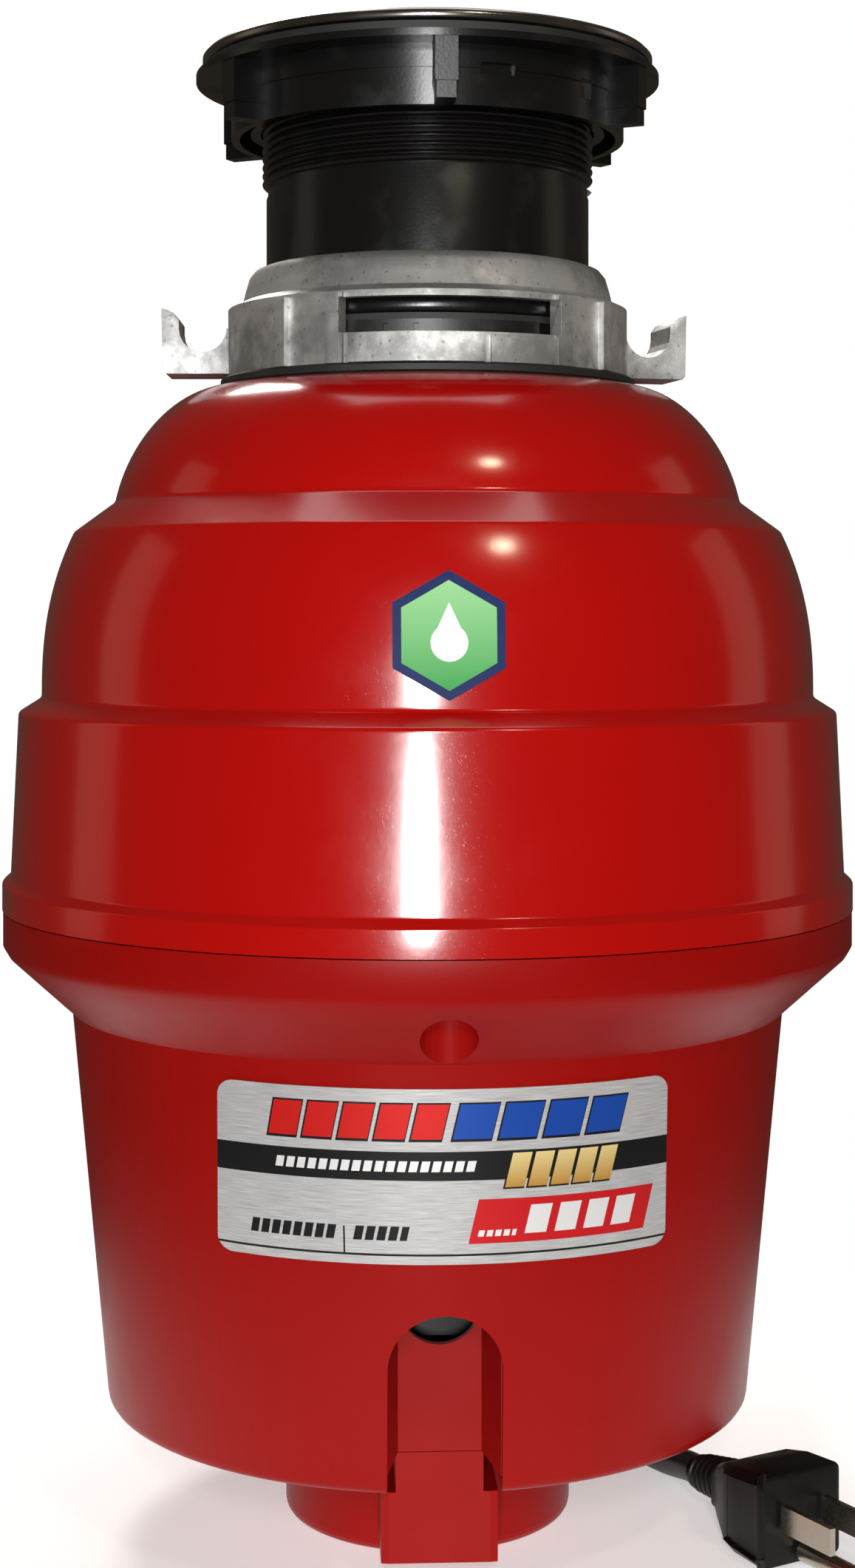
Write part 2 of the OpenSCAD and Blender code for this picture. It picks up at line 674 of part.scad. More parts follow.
module drain_chamber() {
    wall_r = chamber_r + 4;
    color("gainsboro") {
        difference() {
            union() {
                translate([0, 0, floor_z]) cylinder(r = wall_r, h = joint_z - floor_z);
                translate([0, 0, joint_z - 4]) cylinder(r = joint_r, h = 4);
                // register and bearing boss under the floor
                translate([0, 0, floor_z - 3]) ring(can_in_r - 0.1, can_in_r - 4, 3 + eps);
                translate([0, 0, upper_bearing_z - 2]) cylinder(r = bearing_boss_r, h = bearing_h + 2 + eps);
                for (a = [45 : 90 : 315]) rotate([0, 0, a]) translate([bolt_at, 0, floor_z - 2])
                    cylinder(r = bolt_r + 2, h = 2 + eps);
                chamber_screw_places() translate([0, 0, -14]) cylinder(r = 4.2, h = 14);
                // outlet and its bolting flange
                translate([0, 0, outlet_z]) rotate([-90, 0, 0]) {
                    translate([0, 0, wall_r - 12]) cylinder(r = outlet_r + outlet_wall, h = outlet_face_y - wall_r + 12);
                    translate([0, 0, outlet_face_y - outlet_flange_t]) outlet_flange();
                }
            }
            translate([0, 0, floor_z + floor_t]) difference() {
                cylinder(r = chamber_r, h = joint_z);
                cylinder(r = bearing_boss_r, h = 9);
            }
            translate([0, 0, upper_bearing_z - 3]) cylinder(r = bearing_r, h = bearing_h + 3);
            translate([0, 0, floor_z - 1]) cylinder(r = bearing_r - 2.5, h = 30);
            for (a = [45 : 90 : 315]) rotate([0, 0, a]) translate([bolt_at, 0, floor_z - 3])
                cylinder(r = bolt_r, h = 3 + floor_t - 1);
            chamber_screw_places() translate([0, 0, -10]) cylinder(r = 2, h = 12);
            translate([0, 0, outlet_z]) rotate([-90, 0, 0]) {
                translate([0, 0, chamber_r - 12]) cylinder(r = outlet_r, h = band_r);
                translate([0, 0, outlet_face_y - outlet_seal_t]) cylinder(r = outlet_r + 2.6, h = 10);
                for (s = [-1, 1]) translate([s * outlet_bolt_x, 0, outlet_face_y - outlet_flange_t - 9])
                    cylinder(r = outlet_bolt_r, h = 30);
            }
        }
    }
}

module outlet_flange() {
    obround(2 * (outlet_bolt_x + 9), 18, outlet_flange_t);
    cylinder(r = outlet_flange_r, h = outlet_flange_t);
    for (s = [-1, 1]) translate([s * outlet_bolt_x, 0, -9]) cylinder(r = outlet_bolt_r + 3, h = 9 + eps);
}

module outlet_gasket() {
    color("black") translate([0, outlet_face_y - outlet_seal_t, outlet_z]) rotate([-90, 0, 0])
        ring(outlet_r + 2.5, outlet_r + 0.1, outlet_seal_t);
}

module turntable() {
    hub_z = floor_z + floor_t + 12;
    color("silver") {
        difference() {
            union() {
                translate([0, 0, turntable_z]) cylinder(r = turntable_r, h = turntable_t);
                translate([0, 0, hub_z]) cylinder(r = 13, h = turntable_z - hub_z + eps);
            }
            translate([0, 0, hub_z - 1]) cylinder(r = shaft_r + 0.02, h = 80);
            for (a = [0 : 60 : 300]) rotate([0, 0, a + 30])
                translate([turntable_r * 0.76, 0, turntable_z - 1]) cylinder(r = 3.2, h = turntable_t + 2);
        }
    }
}

module turntable_nut() {
    color("silver") translate([0, 0, turntable_z + turntable_t]) difference() {
        union() {
            cylinder(r = 12, h = 1.6);
            cylinder(r = 9.2, h = 8, $fn = 6);
        }
        translate([0, 0, -1]) cylinder(r = shaft_r - 1, h = 20);
    }
}

module lug_rivets() {
    color("silver") for (s = [-1, 1]) translate([0, s * pivot_at, rivet_z]) {
        cylinder(r = rivet_r, h = lug_t + 0.6);
        translate([0, 0, lug_t + 0.6]) cylinder(r1 = rivet_head_r, r2 = rivet_head_r - 1.4, h = 2.2);
    }
}

// A hardened lug that swings freely on its rivet, with a raised striking end
module swivel_lug() {
    color("lightsteelblue") translate([0, 0, rivet_z + 0.25]) difference() {
        union() {
            cylinder(r = lug_w / 2, h = lug_t);
            translate([0, -lug_w / 2, 0]) cube([lug_reach - 3.5, lug_w, lug_t]);
            translate([rivet_head_r + 3, -lug_w / 2, 0]) cube([lug_reach - rivet_head_r - 6.5, lug_w, lug_t + 6]);
        }
        translate([0, 0, -1]) cylinder(r = rivet_r + run, h = lug_t + 2);
    }
}

module swivel_lug_front() {
    translate([0, -pivot_at, 0]) rotate([0, 0, -65]) swivel_lug();
}

module swivel_lug_back() {
    translate([0, pivot_at, 0]) rotate([0, 0, 115]) swivel_lug();
}

// =====================================================================
// Motor
// =====================================================================

module motor_shaft() {
    color("gray") {
        translate([0, 0, lower_bearing_z]) cylinder(r = shaft_r, h = turntable_z + turntable_t - lower_bearing_z);
        translate([0, 0, turntable_z]) cylinder(r = shaft_r - 1.05, h = turntable_t + 9.5);
    }
}

module ball_bearing() {
    difference() {
        cylinder(r = bearing_r, h = bearing_h);
        translate([0, 0, -1]) cylinder(r = shaft_r + 0.02, h = bearing_h + 2);
        for (z = [-1, bearing_h - 0.8]) translate([0, 0, z]) ring(bearing_r - 2.6, shaft_r + 2.6, 1.8);
    }
}

module upper_bearing() {
    color("silver") translate([0, 0, upper_bearing_z]) ball_bearing();
}

module lower_bearing() {
    color("silver") translate([0, 0, lower_bearing_z]) ball_bearing();
}

module shaft_seal() {
    color("black") translate([0, 0, floor_z + 0.2]) rotate_extrude() polygon([
        [shaft_r + 0.2, 0], [bearing_r - 2.6, 0], [bearing_r - 2.6, 8], [shaft_r + 4, 8],
        [shaft_r + 0.2, 11], [shaft_r + 0.2, 9.6], [shaft_r + 2, 6], [shaft_r + 2, 3], [shaft_r + 0.2, 2]]);
}

module motor_can() {
    color("darkgray") translate([0, 0, bell_top_z]) ring(can_r, can_in_r, floor_z - bell_top_z);
}

module lower_end_bell() {
    color("silver") {
        difference() {
            union() {
                translate([0, 0, bell_top_z - bell_t]) cylinder(r = can_r, h = bell_t);
                translate([0, 0, bell_top_z - bell_boss_h]) cylinder(r = bearing_boss_r, h = bell_boss_h);
                for (a = [45 : 90 : 315]) rotate([0, 0, a]) translate([0, -bolt_r - 3, bell_top_z - bell_t])
                    cube([bolt_at, 2 * (bolt_r + 3), bell_t]);
                for (a = [45 : 90 : 315]) rotate([0, 0, a]) translate([bolt_at, 0, bell_top_z - bell_t])
                    cylinder(r = bolt_r + 3, h = bell_t);
            }
            translate([0, 0, lower_bearing_z]) cylinder(r = bearing_r, h = 30);
            for (a = [45 : 90 : 315]) rotate([0, 0, a]) translate([bolt_at, 0, 0]) cylinder(r = bolt_r + 0.2, h = 200);
        }
    }
}

module through_bolts() {
    color("silver") for (a = [45 : 90 : 315]) rotate([0, 0, a])
        translate([bolt_at, 0, bell_top_z - bell_t]) {
            cylinder(r = bolt_r - 0.05, h = floor_z + floor_t - 1.2 - bell_top_z + bell_t);
            translate([0, 0, -3.4]) cylinder(r = 4.6, h = 3.4 + eps, $fn = 6);
        }
}

module magnet() {
    h = stack_h + 10;
    translate([0, 0, stack_z - 5]) sector(can_in_r - 0.05, magnet_r, h, 68);
}

module magnet_left() {
    color("dimgray") rotate([0, 0, -90]) magnet();
}

module magnet_right() {
    color("dimgray") rotate([0, 0, 90]) magnet();
}

module armature_core() {
    color("slategray") translate([0, 0, stack_z]) difference() {
        cylinder(r = core_r, h = stack_h);
        translate([0, 0, -1]) cylinder(r = shaft_r + 0.02, h = stack_h + 2);
        for (i = [0 : slot_count - 1]) rotate([0, 0, 360 * i / slot_count]) {
            translate([core_r - 11, -2.4, -1]) cube([8.5, 4.8, stack_h + 2]);
            translate([core_r - 4, -0.8, -1]) cube([6, 1.6, stack_h + 2]);
        }
    }
}

module armature_windings() {
    bar_r = core_r - 11;
    color("peru") {
        for (z = [stack_z - 8, stack_top_z + 0.1]) translate([0, 0, z]) ring(core_r - 2.6, shaft_r + 3.5, 7.9);
        for (i = [0 : slot_count - 1]) rotate([0, 0, 360 * i / slot_count])
            translate([bar_r + 0.2, -2.2, stack_z - 1]) cube([8.1, 4.4, stack_h + 2]);
    }
}

module commutator() {
    color("peru") translate([0, 0, brush_z - 2]) difference() {
        cylinder(r = commutator_r, h = commutator_h);
        translate([0, 0, -1]) cylinder(r = shaft_r, h = 40);
        for (i = [0 : slot_count - 1]) rotate([0, 0, 360 * (i + 0.5) / slot_count])
            translate([commutator_r - 1, -0.3, -1]) cube([3, 0.6, 40]);
    }
}

// Open-ended box that guides one brush along +X
module brush_box() {
    translate([brush_at + 2, 0, brush_z]) difference() {
        translate([0, -brush_w / 2 - holder_wall, -2]) cube([brush_l + spring_l - 2, brush_w + 2 * holder_wall, brush_h + 2 + holder_wall]);
        translate([-1, -brush_w / 2 - 0.1, -0.1]) cube([brush_l + spring_l - 2, brush_w + 0.2, brush_h + 0.2]);
    }
}

module brush_plate() {
    color("saddlebrown") {
        translate([0, 0, bell_top_z + eps]) ring(can_in_r - 0.3, bearing_r + 0.4, brush_plate_t);
        at_angles([0, 180]) brush_box();
    }
}

module brush() {
    translate([brush_at, -brush_w / 2, brush_z]) cube([brush_l, brush_w, brush_h]);
}

module brush_left() {
    color("black") rotate([0, 0, 180]) brush();
}

module brush_right() {
    color("black") brush();
}

module brush_spring() {
    coils = 5;
    r = 2.3;
    wire = 0.4;
    points = [for (i = [0 : coils * 10]) let (t = i / (coils * 10))
        [brush_at + brush_l + wire + (spring_l - 1.3 - 2 * wire) * t, r * cos(360 * coils * t), brush_z + brush_h / 2 + r * sin(360 * coils * t)]];
    spring_wire(points, wire, 6);
}

// A thin wire swept along a helix about the X axis
module spring_wire(points, r, sides) {
    n = len(points);
    rings = [for (i = [0 : n - 1])
        let (d = unit(points[min(i + 1, n - 1)] - points[max(i - 1, 0)]),
             side = unit(cross(d, [1, 0, 0])), up = cross(side, d))
        for (k = [0 : sides - 1]) let (t = 360 * k / sides) points[i] + r * (cos(t) * side + sin(t) * up)];
    walls = [for (i = [0 : n - 2]) for (k = [0 : sides - 1]) let (k2 = (k + 1) % sides)
        [i * sides + k, i * sides + k2, (i + 1) * sides + k2, (i + 1) * sides + k]];
    ends = [[for (k = [sides - 1 : -1 : 0]) k], [for (k = [0 : sides - 1]) (n - 1) * sides + k]];
    polyhedron(rings, concat(walls, ends), convexity = 10);
}

module brush_spring_left() {
    color("silver") rotate([0, 0, 180]) brush_spring();
}

module brush_spring_right() {
    color("silver") brush_spring();
}

// =====================================================================
// Sink mount
// =====================================================================

// Cast ring: its collar holds the neck's lip down, and its two lugs turn in under the chamber's tabs
module mounting_ring() {
    body = [[cavity_r, 0], [ring_r, 0], [ring_r, ring_cavity_h + 0.9], [collar_r + 5.4, ring_cavity_h + 2.6],
            [collar_r + 4.7, ring_cavity_h + 5.6], [collar_r + 3.7, ring_h - 2.2], [collar_r + 2.4, ring_h - 0.6],
            [collar_r + 0.8, ring_h], [collar_r, ring_h - 0.5], [collar_r, ring_cavity_h], [cavity_r, ring_cavity_h]];
    window_z = 7.2;
    window_h = 8.4;
    color("darkgray") rotate([0, 0, ring_turn]) translate([0, 0, ring_z]) {
        difference() {
            union() {
                rotate_extrude() polygon(body);
                at_angles([0, 180]) {
                    sector(cavity_r + 1, tab_root_r + 0.8, ring_lug_h(), 30);
                    // thickened sill under each window
                    rotate([0, 0, -10]) sector(ring_r + 1.9, ring_r - 1, window_z - 0.3, 18);
                    rotate([0, 0, 21]) sector(ring_r + 1.1, ring_r - 1, window_z - 0.8, 11);
                    // jambs beside each window
                    for (a = [-32.5, 32.5]) rotate([0, 0, a]) sector(ring_r + 1.2, ring_r - 1, ring_cavity_h + 0.6, 2.5);
                }
                // upright ribs in front of and behind each hook
                at_angles([-50, 50, 130, 230]) sector(ring_r + 1.6, ring_r - 1, ring_cavity_h + 0.2, 2);
                at_angles([-97, 97]) hook();
            }
            at_angles([0, 180]) translate([0, 0, window_z]) sector(ring_r + 8, collar_r + 1.2, window_h, 31);
        }
    }
}

function ring_lug_h() = chamber_top_z - tab_h - 0.2 - ring_z;

// A hook for a lever: an upright prong beyond a round-bottomed notch
module hook() {
    w = 15.5;
    prong_t = 4.1;
    end = ring_r + hook_reach;
    notch_r = (hook_reach - prong_t) / 2;
    foot_z = 1.1;
    notch_z = 6.5;
    top = 17.6;
    rotate([0, 0, -90]) translate([0, w / 2, 0]) rotate([90, 0, 0]) linear_extrude(w) polygon(concat(
        [[ring_r - 1.5, foot_z], [end - 0.8, foot_z], [end, foot_z + 0.8], [end + 0.3, top], [end - 1.4, top - 0.5],
         [end - 2.9, top - 1.3], [end - prong_t, top - 3]],
        [for (i = [0 : 10]) let (a = -18 * i) [end - prong_t - notch_r + notch_r * cos(a), notch_z + notch_r + notch_r * sin(a)]],
        [[ring_r - 1.5, notch_z + notch_r]]));
}

module neck_seal() {
    color("black") translate([0, 0, chamber_top_z]) ring(lip_r - 1.2, neck_in_r, seal_t);
}

module threaded_neck() {
    color("#222222") {
        difference() {
            rotate_extrude() polygon(concat(
                [[neck_in_r, neck_z], [lip_r - 1.6, neck_z], [lip_r, neck_z + 1], [lip_r, neck_z + lip_t - 1.2],
                 [lip_r - 1.2, neck_z + lip_t], [neck_r + 0.4, neck_z + lip_t], [neck_r, neck_z + lip_t + 1],
                 [neck_r, thread_z - 3]],
                [for (i = [0 : thread_turns - 1]) each [
                    [neck_r + 0.2, thread_z + thread_pitch * i],
                    [thread_r, thread_z + thread_pitch * (i + 0.42)],
                    [thread_r, thread_z + thread_pitch * (i + 0.58)]]],
                [[neck_r + 0.2, thread_z + thread_pitch * thread_turns], [neck_r + 0.2, neck_top_z],
                 [neck_in_r + 1, neck_top_z], [neck_in_r, neck_top_z - 1.2]]));
        }
    }
}

module sink_flange() {
    dish_r = neck_in_r + 4;
    color("silver") rotate_extrude() polygon([
        [liner_r - flange_t, neck_top_z - liner_h], [liner_r, neck_top_z - liner_h], [liner_r, neck_top_z - 0.4],
        [liner_r + 0.8, flange_z - 0.05], [dish_r, flange_z + 0.05], [flange_r - 8, flange_z + 1.4],
        [flange_r - 2.5, flange_z + 1.7], [flange_r - 1.3, flange_z], [flange_r - 0.4, flange_z + 0.2], [flange_r, flange_z + 1],
        [flange_r, flange_z + 2], [flange_r - 0.9, flange_top_z - 0.3], [flange_r - 2.4, flange_top_z],
        [flange_r - 8, flange_top_z - 0.8], [dish_r, flange_z + 0.05 + flange_t],
        [liner_r + 0.4, flange_z - 0.05 + flange_t], [liner_r - flange_t, neck_top_z - 0.3]]);
}

module sink_gasket() {
    color("black") translate([0, 0, gasket_z]) ring(flange_r - 0.6, thread_r + 0.4, gasket_t);
}

module mounting_nut() {
    nut_slot_w = 8.7;
    color("#1c1c1c") rotate([0, 0, nut_turn]) difference() {
        union() {
            translate([0, 0, nut_top_z - nut_disc_t]) ring(nut_disc_r, nut_bore_r, nut_disc_t);
            translate([0, 0, nut_z]) ring(nut_wall_r - 0.5, nut_wall_r - nut_wall, nut_h - 1);
            translate([0, 0, nut_z + nut_h * 0.55]) ring(nut_wall_r, nut_wall_r - nut_wall, nut_h * 0.45 - 1);
            translate([0, 0, nut_z + 1.5]) ring(nut_bore_r + 2.6, nut_bore_r, nut_h - 2.5);
            // webs between the threaded sleeve and the outer wall
            for (i = [0 : 2 * nut_ribs - 1]) rotate([0, 0, 180 * (i + 0.5) / nut_ribs])
                translate([nut_bore_r + 1, -0.9, nut_z + 5]) cube([nut_wall_r - nut_bore_r - 2.6, 1.8, nut_h - 6]);
            for (i = [0 : nut_ribs - 1]) rotate([0, 0, -90 + 360 * i / nut_ribs]) grip_rib();
        }
        // moulding slots between some of the ribs
        for (a = [0, 120, 240]) rotate([0, 0, a - 90]) {
            rotate([0, 0, 15]) translate([nut_wall_r - 1.6, -nut_slot_w / 2, nut_z + nut_h * 0.47]) cube([6, nut_slot_w, 2.7]);
            rotate([0, 0, 46]) translate([nut_wall_r - 1.6, -nut_slot_w / 4, nut_z + nut_h * 0.32]) cube([6, nut_slot_w / 2, 4.4]);
        }
    }
}

module grip_rib() {
    t = 5.4;
    translate([nut_wall_r - 2, -t / 2, nut_z + 4]) cube([nut_disc_r - nut_wall_r + 1.6, t, nut_h - 5]);
    translate([nut_wall_r - 2, -t / 2 + 0.4, nut_z]) cube([nut_disc_r - nut_wall_r + 1.2, t - 0.8, 4 + eps]);
}

// Soft baffle in the throat: a tube with a lip, closed by flaps between radial slits
module splash_guard() {
    r = liner_r - flange_t - 0.3;
    top = flange_z + flange_t + 0.3;
    flap_z = top - 17;
    eye_r = 9;
    color("#151515") difference() {
        union() {
            translate([0, 0, flap_z]) ring(r, r - 2, top - flap_z);
            translate([0, 0, top]) ring(r + 2.6, r - 2, 1.6);
            translate([0, 0, flap_z]) cylinder(r = r - 1, h = 1.8);
        }
        translate([0, 0, flap_z - 1]) cylinder(r = eye_r, h = 4);
        for (a = [0 : 45 : 315]) rotate([0, 0, a]) translate([eye_r - 2, -0.5, flap_z - 1]) cube([r - eye_r - 2.5, 1, 4]);
    }
}

// =====================================================================
// Cord
// =====================================================================

module cord_lead_in() {
    color("black") swept_tube(smooth_path(lead_in, 2), cord_r);
}

// Outer shape of the coil, its turns lying on each other
module cord_coil() {
    color("black") translate([coil_at[0], coil_at[1], 0]) rotate_extrude()
        translate([coil_mid_r - cord_r, 0.05]) square([cord_d, coil_layers * cord_d]);
}

module cord_lead_out() {
    color("black") swept_tube(smooth_path(lead_out, 2), cord_r);
}

// The plug's own frame: along +Z from the cord's end towards the blades
module plug_place() {
    translate([plug_at[0], plug_at[1], 0]) rotate([0, 0, plug_angle]) rotate([0, 90, 0]) children();
}

module cord_plug() {
    front = 11;
    back = [6.5, 8];                  // half height and half width where the relief joins
    color("black") plug_place() {
        hull() {
            translate([-plug_at[2], 0, 0]) cylinder(r = cord_r + 0.4, h = 1, $fn = 16);
            translate([-plug_z, 0, relief_l - 0.5]) cylinder(r = cord_r + 2, h = 1, $fn = 16);
        }
        hull() {
            translate([-plug_z - back[0], -back[1], relief_l]) cube([2 * back[0], 2 * back[1], 1]);
            translate([-plug_z - front, -front - 1, relief_l + plug_l - 9]) cube([2 * front, 2 * front + 2, 9]);
        }
    }
}

// Two flat blades and a round earth pin
module plug_blades() {
    blade = [6.3, 1.5, 18];
    color("goldenrod") plug_place() translate([-plug_z, 0, relief_l + plug_l]) {
        for (s = [-1, 1]) translate([-1 - blade[0] / 2, s * 6.35 - blade[1] / 2, 0]) cube(blade);
        translate([8, 0, 0]) cylinder(r = 2.4, h = 20);
    }
}

upper_shell();
lower_shell();
base_cap();
wiring_duct();
chamber_cushion();
grind_chamber();
chamber_seal();
sound_liner();
shredder_ring();
drain_chamber();
outlet_gasket();
chamber_screws();
shaft_seal();
upper_bearing();
lower_bearing();
motor_can();
magnet_left();
magnet_right();
lower_end_bell();
through_bolts();
brush_plate();
brush_left();
brush_right();
brush_spring_left();
brush_spring_right();
rectifier();
overload_protector();
reset_button();
shell_screws();
cap_screws();
rating_label();
badge();
cord_gland();
motor_shaft();
armature_core();
armature_windings();
commutator();
turntable();
turntable_nut();
lug_rivets();
swivel_lug_front();
swivel_lug_back();
mounting_ring();
neck_seal();
threaded_neck();
sink_flange();
sink_gasket();
mounting_nut();
splash_guard();
cord_lead_in();
cord_coil();
cord_lead_out();
cord_plug();
plug_blades();
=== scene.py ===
import math

import bmesh
import bpy
from mathutils import Matrix, Vector


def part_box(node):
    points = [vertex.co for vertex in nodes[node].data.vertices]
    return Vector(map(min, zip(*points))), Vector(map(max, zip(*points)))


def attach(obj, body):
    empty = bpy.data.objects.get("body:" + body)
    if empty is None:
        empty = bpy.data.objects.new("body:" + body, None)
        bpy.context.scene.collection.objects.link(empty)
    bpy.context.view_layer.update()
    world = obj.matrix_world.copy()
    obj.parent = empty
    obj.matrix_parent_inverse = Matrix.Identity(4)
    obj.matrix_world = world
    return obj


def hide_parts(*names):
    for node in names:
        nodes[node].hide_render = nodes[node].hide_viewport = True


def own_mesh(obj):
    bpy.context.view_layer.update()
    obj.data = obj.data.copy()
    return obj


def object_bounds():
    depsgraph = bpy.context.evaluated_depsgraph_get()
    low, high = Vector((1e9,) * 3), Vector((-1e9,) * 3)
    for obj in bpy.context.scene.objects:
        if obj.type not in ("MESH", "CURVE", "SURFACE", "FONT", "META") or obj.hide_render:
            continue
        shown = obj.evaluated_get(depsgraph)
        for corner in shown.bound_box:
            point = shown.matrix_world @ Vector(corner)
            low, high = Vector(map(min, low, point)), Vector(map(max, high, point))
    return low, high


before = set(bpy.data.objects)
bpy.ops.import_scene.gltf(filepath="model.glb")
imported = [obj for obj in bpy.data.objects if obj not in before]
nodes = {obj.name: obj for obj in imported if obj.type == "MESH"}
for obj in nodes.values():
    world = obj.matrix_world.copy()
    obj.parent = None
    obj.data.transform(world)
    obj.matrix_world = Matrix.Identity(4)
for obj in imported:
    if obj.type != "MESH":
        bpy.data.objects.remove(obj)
cad_low, cad_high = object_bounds()
mm = 0.001

# --- Camera ---
# It stands in front of the disposer at the height of the upper shell, a little left of the
# middle, and looks level. The shift slides the view down to the floor without tilting it.
eye_away = 635 * mm
eye_height = 228.5 * mm
eye_turn = math.radians(-2.8)
camera = bpy.data.objects.new("camera", bpy.data.cameras.new("camera"))
camera.location = (eye_away * math.sin(eye_turn), -eye_away * math.cos(eye_turn), eye_height)
camera.rotation_euler = (math.radians(90), 0, eye_turn)
camera.data.sensor_width = 36
camera.data.lens = 57.15
camera.data.shift_y = -0.1134
camera.data.clip_start = 0.02
bpy.context.scene.collection.objects.link(camera)
bpy.context.scene.camera = camera


# --- Mains cord ---
# Three-core cord in a round black jacket. It leaves the base at the back, lies in a neat tied coil
# behind the disposer, and comes forward on the right to its plug.
class Wire:
    """A socket of a material. Arithmetic on it adds Math nodes."""

    def __init__(self, finish, socket):
        self.finish, self.socket = finish, socket

    def math(self, operation, *values):
        inputs = {i: v for i, v in enumerate(values)}
        return self.finish.node("Math", {"operation": operation}, inputs)

    def __add__(self, other):
        return self.math("ADD", self, other)

    def __sub__(self, other):
        return self.math("SUBTRACT", self, other)

    def __rsub__(self, other):
        return self.math("SUBTRACT", other, self)

    def __mul__(self, other):
        return self.math("MULTIPLY", self, other)

    def __truediv__(self, other):
        return self.math("DIVIDE", self, other)

    def __pow__(self, other):
        return self.math("POWER", self, other)

    def __gt__(self, other):
        return self.math("GREATER_THAN", self, other)

    def __lt__(self, other):
        return self.math("LESS_THAN", self, other)

    def __abs__(self):
        return self.math("ABSOLUTE", self)

    __radd__, __rmul__ = __add__, __mul__

    def max(self, other):
        return self.math("MAXIMUM", self, other)

    def step(self, low, high):
        """0 below low, 1 above high, and a smooth rise between."""
        settings = {"interpolation_type": "SMOOTHSTEP"}
        return self.finish.node("MapRange", settings, {0: self, 1: low, 2: high})

    def between(self, low, high):
        return (self > low) * (self < high)


class Finish:
    """A material in the making, whose nodes are made by methods named by what they do."""

    def __init__(self, name):
        self.material = bpy.data.materials.new(name)
        self.material.use_nodes = True
        self.tree = self.material.node_tree
        self.tree.nodes.clear()
        self.place = self.node("TexCoord", output="Object")

    def node(self, kind, settings=(), inputs=(), output=0):
        made = self.tree.nodes.new("ShaderNode" + kind)
        for key, value in dict(settings).items():
            setattr(made, key, value)
        for key, value in dict(inputs).items():
            if isinstance(value, Wire):
                self.tree.links.new(value.socket, made.inputs[key])
            else:
                made.inputs[key].default_value = value
        return Wire(self, made.outputs[output])

    def axes(self):
        return [self.node("SeparateXYZ", (), {0: self.place}, axis) for axis in "XYZ"]

    def noise(self, scale, detail=2.0, roughness=0.5, place=None):
        inputs = {"Vector": place or self.place, "Scale": scale, "Detail": detail, "Roughness": roughness}
        return self.node("TexNoise", (), inputs)

    def stretched(self, x, y, z):
        return self.node("Mapping", (), {"Vector": self.place, "Scale": (x, y, z)})

    def blend(self, amount, first, second):
        """first where amount is 0, second where it is 1."""
        return self.node("Mix", {"data_type": "RGBA"}, {0: amount, 6: first, 7: second}, 2)

    def bump(self, height, depth, strength=1.0):
        """A normal from a height of 0 to 1 that stands for depth metres."""
        return self.node("Bump", (), {"Height": height, "Distance": depth, "Strength": strength})

    def surface(self, **values):
        shader = self.node("BsdfPrincipled", (), {k.replace("_", " "): v for k, v in values.items()})
        out = self.tree.nodes.new("ShaderNodeOutputMaterial")
        self.tree.links.new(shader.socket, out.inputs["Surface"])
        return self.material


def grey(value):
    return (value, value, value, 1)


def jacket_pvc():
    f = Finish("cord_jacket")
    grain = f.noise(1800, 3)
    scuff = f.noise(90, 4).step(0.5, 0.8)
    tone = f.blend(scuff, grey(0.003), grey(0.007))
    return f.surface(Base_Color=tone, Roughness=0.4 + scuff * 0.16, Specular_IOR_Level=0.22,
                     Normal=f.bump(grain, 0.06 * mm, 0.5))


def smooth_path(points, steps):
    """Points of a smooth curve through the given ones."""
    line = []
    for i in range(len(points) - 1):
        a, b, c, d = (Vector(points[min(max(k, 0), len(points) - 1)]) for k in (i - 1, i, i + 1, i + 2))
        for s in range(steps):
            t = s / steps
            square, cube = 2 * a - 5 * b + 4 * c - d, 3 * b - a - 3 * c + d
            line.append((2 * b + (c - a) * t + square * t**2 + cube * t**3) / 2)
    return line + [Vector(points[-1])]


cord_d = 7.5 * mm
coil_centre = (-34, 112)              # the coil's sizes are in mm
coil_r = 37.5
coil_turns = 2.75
coil_top = 18.9
coil_drop = 7.55                      # a little over the cord's diameter
lead_in = [(0, 62, 17), (0, 68, 17.2), (0.9, 75, 17.7), (2.7, 82, 18.4), (4.4, 90, 19), (5.2, 98, 19.2),
           (4.7, 105, 19.1)]
lead_out = [(-24, 74.2, 3.8), (-12, 73, 3.8), (0, 71.2, 3.8), (11, 69, 3.8), (22, 65.5, 3.8),
            (32, 60.5, 3.8), (41, 53.5, 3.8), (48.5, 45, 3.8), (54.5, 35.5, 3.8), (59, 26, 4),
            (62.5, 16.5, 4.8), (65, 7.5, 6.5), (67, -1.5, 8.6), (68.5, -9.5, 10)]


def coil_points():
    """Turns lying on each other, each stepping down to the next over its last stretch."""
    points = []
    for i in range(int(coil_turns * 24) + 1):
        turn = i / 24
        part = min(max((turn % 1 - 0.77) / 0.23, 0), 1)
        z = coil_top - coil_drop * (int(turn) + part * part * (3 - 2 * part))
        a = 2 * math.pi * turn
        points.append((coil_centre[0] + coil_r * math.cos(a), coil_centre[1] + coil_r * math.sin(a), z))
    return points


def adopt(piece, body, material, slot, *replaced):
    """Puts a finished piece in the scene, on its body, in place of CAD nodes."""
    if piece.name not in bpy.context.scene.collection.objects:
        bpy.context.scene.collection.objects.link(piece)
    piece.data.materials.clear()
    piece.data.materials.append(material)
    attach(piece, body)
    if replaced:
        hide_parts(*replaced)
    return piece


